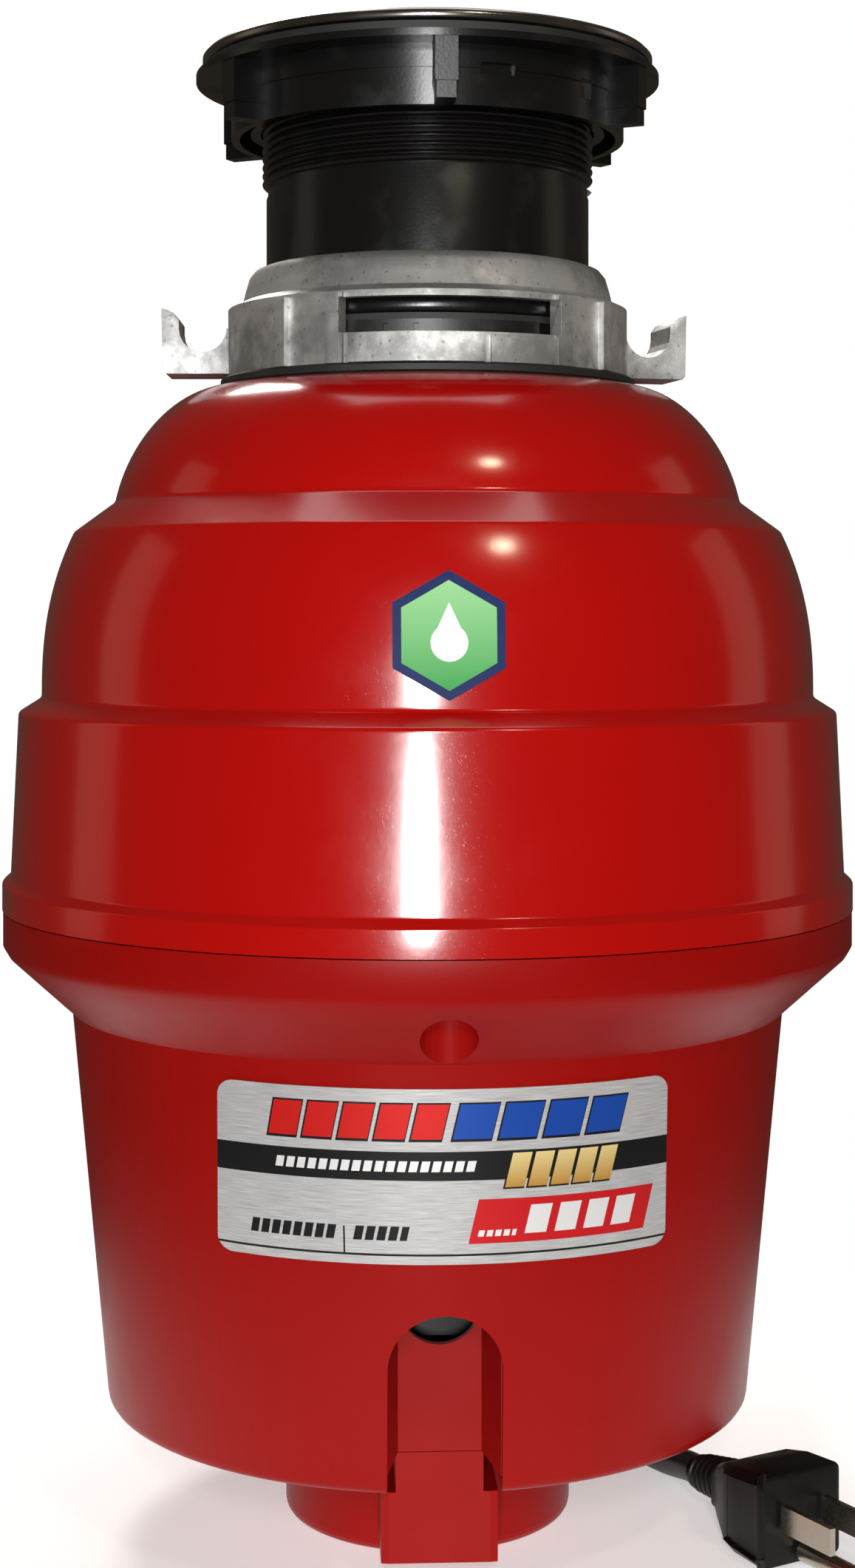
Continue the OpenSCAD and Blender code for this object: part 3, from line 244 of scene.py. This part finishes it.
cord_line = [p * mm for p in smooth_path(lead_in + coil_points() + lead_out, 4)]
cord_curve = bpy.data.curves.new("mains_cord", "CURVE")
cord_curve.dimensions = "3D"
cord_curve.bevel_depth = cord_d / 2
cord_curve.bevel_resolution = 5
cord_spline = cord_curve.splines.new("POLY")
cord_spline.points.add(len(cord_line) - 1)
for point, place in zip(cord_spline.points, cord_line):
    point.co = (*place, 1)
cord_spline.use_smooth = True
cord_length = sum((b - a).length for a, b in zip(cord_line, cord_line[1:]))
jacket = jacket_pvc()
cord = adopt(bpy.data.objects.new("mains_cord", cord_curve), "housing", jacket, "cord_black",
             "cord_lead_in", "cord_coil", "cord_lead_out")


# --- Plug ---
# Moulded on the cord in one piece: ringed strain relief, a body that flares towards the blades,
# and a sunk grip panel with a rib on each side. Two flat blades and a round earth pin.
def new_piece(name, mesh_builder):
    """A new object from a bmesh, its doubles merged and its faces pointing outwards."""
    bmesh.ops.remove_doubles(mesh_builder, verts=mesh_builder.verts, dist=1e-6)
    bmesh.ops.recalc_face_normals(mesh_builder, faces=mesh_builder.faces)
    mesh = bpy.data.meshes.new(name)
    mesh_builder.to_mesh(mesh)
    mesh_builder.free()
    piece = bpy.data.objects.new(name, mesh)
    bpy.context.scene.collection.objects.link(piece)
    soften(piece)
    return piece


def soften(piece, angle=38):
    """Smooth shading, except over edges sharper than angle."""
    piece.data.shade_smooth()
    piece.data.set_sharp_from_angle(angle=math.radians(angle))


def add_modifier(piece, kind, **settings):
    modifier = piece.modifiers.new(kind.lower(), kind)
    for key, value in settings.items():
        setattr(modifier, key, value)
    return modifier


def round_edges(piece, width, segments=2, angle=35):
    add_modifier(piece, "BEVEL", width=width, segments=segments, limit_method="ANGLE",
                 angle_limit=math.radians(angle), harden_normals=True)


def spun(profile, steps=128, turn=360.0, drop=0.0, closed=False):
    """A bmesh turned round Z from a profile of (radius, height), in metres."""
    b = bmesh.new()
    ring = [b.verts.new((r, 0, z)) for r, z in profile]
    edges = [b.edges.new(pair) for pair in zip(ring, ring[1:])]
    if closed:
        edges.append(b.edges.new((ring[-1], ring[0])))
    bmesh.ops.spin(b, geom=ring + edges, cent=(0, 0, 0), axis=(0, 0, 1), dvec=(0, 0, drop / steps),
                   angle=math.radians(turn), steps=steps, use_merge=turn == 360 and not drop)
    return b


plug_at = (68.5 * mm, -9.5 * mm)
plug_turn = math.radians(-62)
plug_z = 11.2 * mm
relief_l = 14 * mm
plug_l = 27 * mm
plug_place = Matrix.Translation((*plug_at, 0)) @ Matrix.Rotation(plug_turn, 4, "Z")


def plug_body():
    b = bmesh.new()
    stations = ((0, 5.2, 6.4), (2.5, 6.8, 7.6), (9, 9.6, 10.6), (15, 10.6, 11.7), (plug_l / mm - 1, 11, 12))
    bmesh.ops.create_cube(b, size=1)
    back = [f for f in b.faces if f.normal.x < -0.5]
    front = [f for f in b.faces if f.normal.x > 0.5][0]
    x, half_z, half_y = stations[0]
    for v in b.verts:
        v.co = Vector((x - (0 if v.co.x > 0 else 1), v.co.y * 2 * half_y, v.co.z * 2 * half_z))
    for x, half_z, half_y in stations[1:]:
        made = bmesh.ops.extrude_face_region(b, geom=[front])
        bmesh.ops.delete(b, geom=[front], context="FACES_ONLY")
        front = [g for g in made["geom"] if isinstance(g, bmesh.types.BMFace)][0]
        for v in front.verts:
            v.co = Vector((x, math.copysign(half_y, v.co.y), math.copysign(half_z, v.co.z)))
    bmesh.ops.delete(b, geom=back, context="FACES_ONLY")
    bmesh.ops.recalc_face_normals(b, faces=b.faces)
    long_edges = [e for e in b.edges if all(abs(v.co.y) > 5 for v in e.verts)
                  and abs(e.verts[0].co.x - e.verts[1].co.x) > 0.5]
    bmesh.ops.bevel(b, geom=long_edges, offset=1.6, segments=3, profile=0.5, affect="EDGES", material=-1)
    rim = [e for e in b.edges if all(v.co.x > plug_l / mm - 1.1 for v in e.verts) and len(e.link_faces) == 2
           and any(abs(f.normal.x) > 0.9 for f in e.link_faces)]
    bmesh.ops.bevel(b, geom=rim, offset=0.8, segments=2, profile=0.5, affect="EDGES", material=-1)
    for side in (-1, 1):
        panel = [f for f in b.faces if f.normal.y * side > 0.85 and 8 < f.calc_center_median().x < 25]
        bmesh.ops.inset_region(b, faces=panel, thickness=2.1, depth=0)
        bmesh.ops.inset_region(b, faces=panel, thickness=0.3, depth=-0.9)
    bmesh.ops.scale(b, vec=(mm, mm, mm), verts=b.verts)
    bmesh.ops.translate(b, vec=(relief_l, 0, plug_z), verts=b.verts)
    bmesh.ops.transform(b, matrix=plug_place, verts=b.verts)
    return new_piece("plug_body", b)


def plug_relief():
    """Rings round the cord, closer and fatter towards the plug."""
    profile = [(3.72, 0), (4.3, 0.2), (4.5, 1.4)]
    for i in range(5):
        x, r = 2.2 + 2.3 * i, 4.9 + 0.22 * i
        profile += [(r - 0.75, x - 0.5), (r - 0.75, x + 0.1), (r - 0.15, x + 0.35), (r, x + 0.7),
                    (r, x + 1.3), (r - 0.15, x + 1.65)]
    profile += [(5.3, 14), (5.3, 15.5), (3, 15.5)]
    b = spun([(r * mm, z * mm) for r, z in profile], 40)
    bmesh.ops.rotate(b, matrix=Matrix.Rotation(math.radians(90), 3, "Y"), verts=b.verts)
    for v in b.verts:
        v.co.z += (10 + (plug_z / mm - 10) * min(v.co.x / relief_l, 1)) * mm
    bmesh.ops.transform(b, matrix=plug_place, verts=b.verts)
    return new_piece("plug_relief", b)


def plug_ribs():
    """One upright rib in the sunk panel on each side."""
    b = bmesh.new()
    for side in (-1, 1):
        rib = bmesh.ops.create_cube(b, size=1)["verts"]
        bmesh.ops.scale(b, vec=(1.3, 1.2, 16), verts=rib)
        bmesh.ops.translate(b, vec=(15.2, side * 10.75, 0), verts=rib)
    bmesh.ops.bevel(b, geom=list(b.edges), offset=0.3, segments=2, profile=0.5, affect="EDGES", material=-1)
    bmesh.ops.scale(b, vec=(mm, mm, mm), verts=b.verts)
    bmesh.ops.translate(b, vec=(relief_l, 0, plug_z), verts=b.verts)
    bmesh.ops.transform(b, matrix=plug_place, verts=b.verts)
    return new_piece("plug_ribs", b)


plug = adopt(plug_body(), "housing", jacket, "cord_black", "cord_plug")
relief = adopt(plug_relief(), "housing", jacket, "cord_black")
ribs = adopt(plug_ribs(), "housing", jacket, "cord_black")


def nickel():
    f = Finish("plug_blade_metal")
    drawn = f.noise(600, 3, place=f.stretched(1, 1, 8))
    tone = f.blend(drawn, (0.42, 0.38, 0.31, 1), (0.56, 0.52, 0.44, 1))
    return f.surface(Base_Color=tone, Metallic=1.0, Roughness=0.2 + drawn * 0.15)


def dress(name, material):
    """Gives a CAD node its finish."""
    node = nodes[name]
    node.data.materials.clear()
    node.data.materials.append(material)
    for face in node.data.polygons:
        face.material_index = 0


dress("plug_blades", nickel())

# The coil is held by a flat tie of the same soft black plastic.
tie_w = 5 * mm
tie_turn = math.radians(150)


def coil_tie():
    """A band round all the turns at the back of the coil."""
    half_r = cord_d / 2 + 0.5 * mm
    bottom, top = 0.15 * mm, coil_top * mm + half_r
    low, high = bottom + half_r, top - half_r
    outline = [(half_r * math.cos(a), low + half_r * math.sin(a)) for a in
               (math.pi + math.pi * i / 12 for i in range(13))]
    outline += [(half_r * math.cos(a), high + half_r * math.sin(a)) for a in
                (math.pi * i / 12 for i in range(13))]
    b = bmesh.new()
    ring = [b.verts.new((x, -tie_w / 2, z)) for x, z in outline]
    edges = [b.edges.new(pair) for pair in zip(ring, ring[1:] + ring[:1])]
    made = bmesh.ops.extrude_edge_only(b, edges=edges)
    far_side = [v for v in made["geom"] if isinstance(v, bmesh.types.BMVert)]
    bmesh.ops.translate(b, vec=(0, tie_w, 0), verts=far_side)
    bmesh.ops.translate(b, vec=(coil_r * mm, 0, 0), verts=b.verts)
    bmesh.ops.rotate(b, matrix=Matrix.Rotation(tie_turn, 3, "Z"), verts=b.verts)
    bmesh.ops.translate(b, vec=(coil_centre[0] * mm, coil_centre[1] * mm, 0), verts=b.verts)
    piece = new_piece("coil_tie", b)
    add_modifier(piece, "SOLIDIFY", thickness=0.7 * mm, offset=1)
    round_edges(piece, 0.2 * mm)
    return piece


tie = adopt(coil_tie(), "housing", jacket, "cord_black")


# --- Shells and base cap ---
# Injection-moulded plastic, dipped in a deep red with a wet gloss on the upper shell and a
# duller one below, which the mould's draft and the base's handling have softened. The red below
# is also a darker copy of the same red, as painted shade for the light falling off towards the bottom.
def red_gloss(name, roughness, coat, specular=0.4, deep=(0.35, 0.0016, 0.001, 1),
              light=(0.41, 0.0024, 0.0014, 1)):
    f = Finish(name)
    cloud = f.noise(14, 3)
    peel = f.noise(420, 2)
    haze = f.noise(55, 5).step(0.45, 0.75)
    speck = f.noise(2600, 2).step(0.62, 0.72)
    return f.surface(Base_Color=f.blend(cloud, deep, light),
                     Roughness=roughness + haze * 0.05 - speck * 0.1,
                     Specular_IOR_Level=specular, Coat_Weight=coat, Coat_Roughness=0.13,
                     Normal=f.bump(peel * 0.7 + speck * 0.3, 0.04 * mm, 0.5))


def softened(name, body, material, slot, width=0.0):
    """A merged copy of a CAD node with rounded edges, to stand in its place."""
    b = bmesh.new()
    b.from_mesh(nodes[name].data)
    bmesh.ops.transform(b, matrix=nodes[name].matrix_world, verts=b.verts)
    piece = new_piece(name + "_finished", b)
    if width:
        round_edges(piece, width, 3, 30)
    return adopt(piece, body, material, slot, name)


band_r = 107                          # the shell's sizes are in mm
wall = 2.4
seam_z = 153.5
dome_foot = 254.5
outlet_z = 178.1
inlet_z = 262.9
inlet_r = 12.7
inlet_turn = math.radians(118)


def filleted(points, steps=5):
    """A profile of (radius, height, fillet) with each filleted corner drawn as a small arc."""
    path = []
    for i, (r, z, fillet) in enumerate(points):
        corner = Vector((r, z))
        if not fillet:
            path.append(corner)
            continue
        before, after = Vector(points[i - 1][:2]) - corner, Vector(points[i + 1][:2]) - corner
        reach = fillet * math.tan((math.pi - before.angle(after)) / 2)
        a, b = corner + before.normalized() * reach, corner + after.normalized() * reach
        path += [a.lerp(corner, k / steps).lerp(corner.lerp(b, k / steps), k / steps)
                 for k in range(steps + 1)]
    return path


def upper_skin():
    """Two stepped tiers and a dome over a widest band, and the same again inside."""
    tier2 = [(97.3 - 8 * t**2.5, 205.8 + 41.2 * t, 0) for t in (k / 16 for k in range(1, 16))]
    dome = []
    for k in range(1, 25):
        t = math.sin(math.pi / 2 * k / 24)
        dome.append((79.1 - 27.1 * (0.22 * t + 0.78 * (1 - math.sqrt(1 - t * t))), dome_foot + 29 * t, 0))
    outside = [(band_r, seam_z, 0), (band_r, 159.9, 0.9), (104.9, 161.8, 1.2), (103, 202.2, 1.6),
               (97.3, 205.8, 1.6)]
    outside += tier2 + [(89.3, 247, 2.2), (79.1, dome_foot, 2)] + dome
    inside = [(r - wall, z - (wall if z > 275 else wall / 2 if z > 202 else 0), 0)
              for r, z, fillet in outside]
    profile = filleted(outside) + [Vector((45.6, 283.5)), Vector((45.6, 281.1))]
    profile += [Vector(p[:2]) for p in reversed(inside)]
    return new_piece("upper_skin", spun([(p.x * mm, p.y * mm) for p in profile], 192, closed=True))


def carve(piece, *builders):
    """Cuts closed shapes out of a piece for good."""
    tools = [new_piece("cutter", builder) for builder in builders]
    for tool in tools:
        add_modifier(piece, "BOOLEAN", object=tool, operation="DIFFERENCE")
    view = bpy.context.evaluated_depsgraph_get()
    carved = bpy.data.meshes.new_from_object(piece.evaluated_get(view))
    piece.modifiers.clear()
    piece.data = carved
    soften(piece)
    for tool in tools:
        bpy.data.objects.remove(tool)


def outlet_cut():
    """An obround hole round the outlet's two-bolt flange."""
    b = bmesh.new()
    half_w, half_h = 26.2, 23.1
    cut_from, cut_length = 12 * mm, 130 * mm
    outline = [(half_w * s + half_h * math.cos(a), half_h * math.sin(a)) for s, a0 in ((1, -90), (-1, 90))
               for a in (math.radians(a0 + 7.5 * k) for k in range(25))]
    face = b.faces.new([b.verts.new((x * mm, cut_from, (outlet_z + z) * mm)) for x, z in outline])
    made = bmesh.ops.extrude_face_region(b, geom=[face])
    far_side = [v for v in made["geom"] if isinstance(v, bmesh.types.BMVert)]
    bmesh.ops.translate(b, vec=(0, cut_length, 0), verts=far_side)
    return b


def inlet_cut():
    """A round hole for the dishwasher inlet."""
    b = spun([(0, 0.04), (inlet_r * mm, 0.04), (inlet_r * mm, 0.12), (0, 0.12)], 48)
    bmesh.ops.rotate(b, matrix=Matrix.Rotation(math.radians(90), 3, "Y"), verts=b.verts)
    bmesh.ops.rotate(b, matrix=Matrix.Rotation(inlet_turn, 3, "Z"), verts=b.verts)
    bmesh.ops.translate(b, vec=(0, 0, inlet_z * mm), verts=b.verts)
    return b


upper_red = red_gloss("upper_red", 0.17, 0.5)
# The lower copy's darker red is painted shade for the light falling off towards the bottom.
lower_red_painted_shade = red_gloss("lower_red_painted_shade", 0.36, 0.03, 0.15, (0.25, 0.0022, 0.0014, 1),
                      (0.29, 0.003, 0.002, 1))
skin = upper_skin()
carve(skin, outlet_cut(), inlet_cut())
adopt(skin, "housing", upper_red, "red_shell", "upper_shell")
softened("lower_shell", "housing", lower_red_painted_shade, "red_shell", 0.6 * mm)
dress("base_cap", lower_red_painted_shade)
dress("wiring_duct", lower_red_painted_shade)


# --- Cast mounting ring ---
# Die-cast aluminium, left as it came from the mould: grainy, dull and dark with oxide in its
# hollows, and brighter where it has been handled.
def cast_aluminium():
    f = Finish("cast_aluminium")
    grain = f.noise(1500, 4, 0.6)
    flow = f.noise(120, 5, 0.62)
    oxide = f.noise(38, 5, 0.65).step(0.42, 0.68)
    pits = f.node("TexVoronoi", (), {"Vector": f.place, "Scale": 420.0}).step(0.08, 0.22)
    tone = f.blend(oxide, (0.3, 0.3, 0.29, 1), (0.74, 0.74, 0.73, 1))
    tone = f.blend((1 - pits) * 0.5, tone, (0.12, 0.115, 0.11, 1))
    height = flow * 0.6 + grain * 0.25 + pits * 0.15
    return f.surface(Base_Color=tone, Metallic=0.85, Roughness=0.56 - oxide * 0.14 + grain * 0.1,
                     Normal=f.bump(height, 0.22 * mm, 0.6))


# Near-black: painted shade for the dark inside seen through the wiring hole.
def end_bell_painted_shade_finish():
    f = Finish("end_bell_painted_shade")
    orange = f.noise(300, 2)
    return f.surface(Base_Color=f.blend(orange, grey(0.008), grey(0.014)), Roughness=0.55,
                     Normal=f.bump(orange, 0.05 * mm, 0.3))


end_bell_painted_shade = end_bell_painted_shade_finish()
cast = cast_aluminium()
softened("mounting_ring", "ring", cast, "cast_alloy", 0.6 * mm)
dress("drain_chamber", cast)
# The lower end bell is coloured near-black as painted shade for the dark seen through the wiring hole.
dress("lower_end_bell", end_bell_painted_shade)


# --- Threaded neck and mounting nut ---
# Glass-filled black plastic with a satin face. The thread is a true helix, twelve turns to the
# inch, and the nut's six ribs and moulding slots are as the tool leaves them.
def black_plastic(name, roughness):
    f = Finish(name)
    fine = f.noise(1300, 3)
    rub = f.noise(70, 5).step(0.52, 0.78)
    tone = f.blend(rub, grey(0.004), grey(0.009))
    return f.surface(Base_Color=tone, Roughness=roughness + rub * 0.14,
                     Normal=f.bump(fine, 0.05 * mm, 0.35))


black = black_plastic("black_plastic", 0.26)
thread_pitch = 2.117                  # the neck's sizes are in mm
thread_turns = 13
thread_foot = 334.1
neck_top = 364.2
neck_foot = 298.1


def neck_tube():
    profile = [(37.8, neck_foot), (45.7, neck_foot), (46.4, neck_foot + 0.3), (46.9, neck_foot + 1),
               (46.9, neck_foot + 2.6), (46.3, neck_foot + 3.6), (42, neck_foot + 3.9),
               (41.2, neck_foot + 4.3), (41, neck_foot + 5.2), (41, thread_foot - 2.6),
               (40.6, thread_foot - 1.6), (40.6, neck_top - 0.6), (40.1, neck_top),
               (38.9, neck_top), (38.1, neck_top - 0.4), (37.8, neck_top - 1.2)]
    return new_piece("neck_tube", spun([(r * mm, z * mm) for r, z in profile], 160, closed=True))


def neck_thread():
    """One helical ridge from the foot of the thread to just under the top of the neck."""
    ridge = [(40.3, 0), (40.95, 0.25), (41.95, 0.85), (42.05, 1.05), (41.95, 1.25), (40.95, 1.85),
             (40.3, 2.1)]
    b = bmesh.new()
    ring = [b.verts.new((r * mm, 0, (thread_foot - 0.8 + z) * mm)) for r, z in ridge]
    edges = [b.edges.new(pair) for pair in zip(ring, ring[1:] + ring[:1])]
    face = b.faces.new(ring)
    steps = 96 * thread_turns
    bmesh.ops.spin(b, geom=[face] + edges + ring, cent=(0, 0, 0), axis=(0, 0, 1),
                   dvec=(0, 0, thread_pitch * thread_turns * mm / steps),
                   angle=2 * math.pi * thread_turns, steps=steps)
    return new_piece("neck_thread", b)


adopt(neck_tube(), "housing", black, "black_plastic", "threaded_neck")
adopt(neck_thread(), "housing", black, "black_plastic")
dress("mounting_nut", black)
dress("grind_chamber", black_plastic("chamber_polymer", 0.4))


# --- Sink flange and gasket ---
# Pressed stainless steel, polished on a lathe so that the brush marks run round it, on a ring
# of black rubber. The turntable and its lugs are the same steel, and every seal the same rubber.
def stainless():
    f = Finish("stainless")
    x, y, z = f.axes()
    radius = (x * x + y * y) ** 0.5
    rings = f.node("CombineXYZ", (), {0: radius * 3000, 1: z * 3000, 2: 0.0})
    brushed = f.noise(1.0, 3, place=rings)
    smear = f.noise(45, 4).step(0.4, 0.75)
    tone = f.blend(smear, (0.28, 0.265, 0.24, 1), (0.38, 0.365, 0.34, 1))
    return f.surface(Base_Color=tone, Metallic=1.0, Roughness=0.17 + smear * 0.1 + brushed * 0.08,
                     Normal=f.bump(brushed, 0.01 * mm, 0.5))


def rubber():
    f = Finish("black_rubber")
    grain = f.noise(900, 4)
    bloom = f.noise(60, 5).step(0.5, 0.8)
    return f.surface(Base_Color=f.blend(bloom, grey(0.01), grey(0.026)), Roughness=0.62 + bloom * 0.15,
                     Normal=f.bump(grain, 0.12 * mm, 0.4))


steel = stainless()
soft_black = rubber()
softened("sink_flange", "housing", steel, "stainless")
for name in ("turntable", "turntable_nut", "lug_rivets", "swivel_lug_front",
             "swivel_lug_back", "shredder_ring"):
    dress(name, steel)
for name in ("sink_gasket", "chamber_cushion", "neck_seal", "splash_guard", "outlet_gasket",
             "cord_gland", "chamber_seal", "shaft_seal"):
    dress(name, soft_black)


# --- Label and badge ---
# A printed foil label round the front of the lower shell and a small domed sticker above it.
# Both carry plain shapes only.
def label_foil():
    f = Finish("label_foil")
    x, y, z = f.axes()
    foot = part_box("rating_label")[0].z
    label_r = 86.5
    across = x.math("ARCTAN2", x, 0 - y) * label_r
    up = (z - foot) * 1000
    strokes = f.node("CombineXYZ", (), {0: across * 0.12, 1: up * 9, 2: 0.0})
    brush = f.noise(1.0, 4, 0.6, place=strokes)
    silver = f.blend(brush.step(0.3, 0.7), grey(0.36), grey(0.66))
    ink = (0.008, 0.008, 0.009, 1)
    slant = across - up * 0.22

    def block(left, right, low, high, colour, gap=1.0, pitch=1.0):
        """Paints a leaning block, or a row of them when gap is under 1."""
        mask = slant.between(left, right) * up.between(low, high)
        if gap < 1:
            mask = mask * (((slant - left) / pitch).math("FRACT", (slant - left) / pitch) < gap)
        return f.blend(mask, tone, colour)

    tone = f.blend(up.between(18.9, 25.4), silver, ink)
    tone = block(-46.4, -6.6, 27.6, 36.4, ink, 0.9, 8.0)
    tone = block(-46, -7, 28.2, 36, (0.62, 0.012, 0.01, 1), 0.82, 8.0)
    tone = block(-5.4, 34.4, 27.6, 36.4, ink, 0.9, 10.0)
    tone = block(-5, 34, 28.2, 36, (0.01, 0.07, 0.4, 1), 0.84, 10.0)
    tone = block(-43, 2, 20.9, 23.3, grey(0.8), 0.72, 2.5)
    tone = block(8.6, 34, 16.7, 25.1, ink, 0.92, 5.2)
    gold = f.blend((up - 16.7) / 8.4, (0.5, 0.25, 0.03, 1), (0.85, 0.68, 0.3, 1))
    tone = block(9, 34, 17.1, 24.8, gold, 0.84, 5.2)
    tone = block(3.8, 46.6, 4.6, 14.6, (0.6, 0.01, 0.014, 1))
    tone = block(16, 44, 6.5, 12.9, grey(0.8), 0.72, 7.0)
    tone = block(5.5, 14, 6.2, 7.6, grey(0.8), 0.7, 1.9)
    tone = block(-46.5, -26, 5.4, 8.6, ink, 0.74, 2.6)
    tone = block(-22, -10, 5.4, 8.6, ink, 0.74, 2.6)
    tone = f.blend(across.between(-23, -22.6) * up.between(2, 8.4), tone, ink)
    tone = f.blend(up.between(1.9, 2.4), tone, ink)
    printed = f.noise(2500, 2)
    return f.surface(Base_Color=tone, Metallic=0.35, Roughness=0.3 + brush * 0.12,
                     Normal=f.bump(printed, 0.01 * mm, 0.2))


def badge_film():
    f = Finish("badge_film")
    x, y, z = f.axes()
    low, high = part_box("badge")
    middle = (low.z + high.z) / 2
    across, up = x * 1000, (z - middle) * 1000
    edge = abs(across).max(abs(across) * 0.5 + abs(up) * 0.866)
    wash = (up + 12) / 24
    tone = f.blend(wash, (0.04, 0.32, 0.07, 1), (0.3, 0.62, 0.28, 1))
    tone = f.blend(edge > 10.4, tone, (0.008, 0.02, 0.1, 1))
    drop_r = (across * across + (up + 1.6) * (up + 1.6)) ** 0.5
    point = (abs(across) < (7.2 - up) * 0.46) * up.between(0.2, 7.2)
    tone = f.blend((drop_r < 4.1).max(point), tone, (0.8, 0.86, 0.84, 1))
    return f.surface(Base_Color=tone, Roughness=0.6, Specular_IOR_Level=0.2)


dress("rating_label", label_foil())
dress("badge", badge_film())


# --- Small steel and inner parts ---
# Zinc-plated fasteners, painted motor steel, varnished copper, sintered magnets, carbon and felt.
def plated_steel(name, dark, light, roughness):
    f = Finish(name)
    grain = f.noise(500, 4)
    return f.surface(Base_Color=f.blend(grain, grey(dark), grey(light)), Metallic=0.95,
                     Roughness=roughness + grain * 0.12, Normal=f.bump(grain, 0.03 * mm, 0.3))


def dull(name, dark, light, roughness, scale=400, depth=0.1):
    f = Finish(name)
    grain = f.noise(scale, 4)
    return f.surface(Base_Color=f.blend(grain, dark, light), Roughness=roughness,
                     Normal=f.bump(grain, depth * mm, 0.5))


def copper():
    f = Finish("varnished_copper")
    strands = f.noise(300, 3, place=f.stretched(1, 1, 0.15))
    return f.surface(Base_Color=f.blend(strands, (0.38, 0.12, 0.04, 1), (0.62, 0.25, 0.1, 1)), Metallic=0.9,
                     Roughness=0.3, Coat_Weight=0.3, Normal=f.bump(strands, 0.2 * mm, 0.6))


zinc = plated_steel("zinc_plate", 0.42, 0.6, 0.3)
for name in ("shell_screws", "cap_screws", "chamber_screws", "through_bolts"):
    dress(name, zinc)

# Each brush spring stays against the outer end of its holder, as a merged copy of its CAD node with a mesh
# of its own.
for side, outer in (("left", 0), ("right", 1)):
    spring = softened("brush_spring_" + side, "housing", zinc, "steel")
    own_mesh(spring)
for name in ("motor_shaft", "upper_bearing", "lower_bearing", "armature_core"):
    dress(name, plated_steel("ground_" + name, 0.36, 0.5, 0.25))
dress("motor_can", plated_steel("motor_can_steel", 0.2, 0.3, 0.4))
ferrite = dull("ferrite", grey(0.02), grey(0.04), 0.6)
for name in ("magnet_left", "magnet_right"):
    dress(name, ferrite)
carbon = dull("carbon", grey(0.015), grey(0.03), 0.5)
for name in ("brush_left", "brush_right"):
    dress(name, carbon)
for name in ("armature_windings", "commutator"):
    dress(name, copper())
dress("brush_plate", dull("board", (0.09, 0.035, 0.012, 1), (0.14, 0.06, 0.02, 1), 0.55))
for name in ("rectifier", "overload_protector"):
    dress(name, black)
dress("reset_button", red_gloss("button_red", 0.3, 0.4))
dress("sound_liner", dull("felt", grey(0.16), grey(0.3), 0.95, 900, 0.4))


# --- Floor and light ---
# A pale floor, a tall soft light just left of the camera that draws the highlight down the
# shells, weaker soft lights on both sides, above and behind, and a white surround.
def studio_floor():
    """Pale and plain, fading into the white surround a little way out."""
    f = Finish("studio_floor")
    x, y, z = f.axes()
    away = (x * x + y * y) ** 0.5
    return f.surface(Base_Color=grey(0.9), Roughness=0.8, Alpha=1 - away.step(0.15, 0.32),
                     Emission_Color=grey(1.0), Emission_Strength=0.4)


floor_builder = bmesh.new()
bmesh.ops.create_grid(floor_builder, x_segments=1, y_segments=1, size=0.6)
bmesh.ops.translate(floor_builder, vec=(0, 0, cad_low.z - 0.1 * mm), verts=floor_builder.verts)
floor = new_piece("floor", floor_builder)
floor.data.materials.append(studio_floor())


def softbox(name, place, target, size, power, colour=(1, 1, 1), shape="RECTANGLE"):
    data = bpy.data.lights.new(name, "AREA")
    data.shape = shape
    data.color = colour
    data.size, data.size_y = size
    data.energy = power
    lamp = bpy.data.objects.new(name, data)
    lamp.location = place
    lamp.rotation_mode = "QUATERNION"
    lamp.rotation_quaternion = (Vector(target) - Vector(place)).to_track_quat("-Z", "Y")
    bpy.context.scene.collection.objects.link(lamp)


chest = (0, 0, 0.19)
softbox("front_strip", (-0.1, -1.25, 0.2), chest, (0.12, 0.26), 11.5)
softbox("front_high", (-0.05, -1.25, 0.56), chest, (0.1, 0.15), 4.5)
softbox("left_fill", (-1.6, 0.3, 0.5), chest, (0.5, 1.2), 0.65, (1, 0.85, 0.7))
softbox("right_fill", (1.6, 0.3, 0.5), chest, (0.5, 1.2), 0.65, (1, 0.85, 0.7))
softbox("overhead", (0, 0.5, 1.9), (0, 0.1, 0), (1.0, 1.0), 6)
softbox("back_lamp", (-0.35, 1.2, 1.5), chest, (0.5, 0.5), 16, (1, 0.96, 0.92))
softbox("lamp_high", (0.49, -1.15, 1.34), (0, -0.08, 0.25), (0.17, 0.13), 2.4, (1, 0.86, 0.62),
        "ELLIPSE")

world = bpy.data.worlds.new("surround")
world.use_nodes = True
bpy.context.scene.world = world
tree = world.node_tree
tree.nodes.clear()
seen = tree.nodes.new("ShaderNodeLightPath")
white, dim = tree.nodes.new("ShaderNodeBackground"), tree.nodes.new("ShaderNodeBackground")
white.inputs["Strength"].default_value = 1.0
white.inputs["Color"].default_value = (1, 1, 1, 1)
dim.inputs["Color"].default_value = (0.06, 0.05, 0.04, 1)
choose, out = tree.nodes.new("ShaderNodeMixShader"), tree.nodes.new("ShaderNodeOutputWorld")
tree.links.new(seen.outputs["Is Camera Ray"], choose.inputs[0])
tree.links.new(dim.outputs[0], choose.inputs[1])
tree.links.new(white.outputs[0], choose.inputs[2])
tree.links.new(choose.outputs[0], out.inputs["Surface"])
bpy.context.scene.view_settings.view_transform = "Standard"
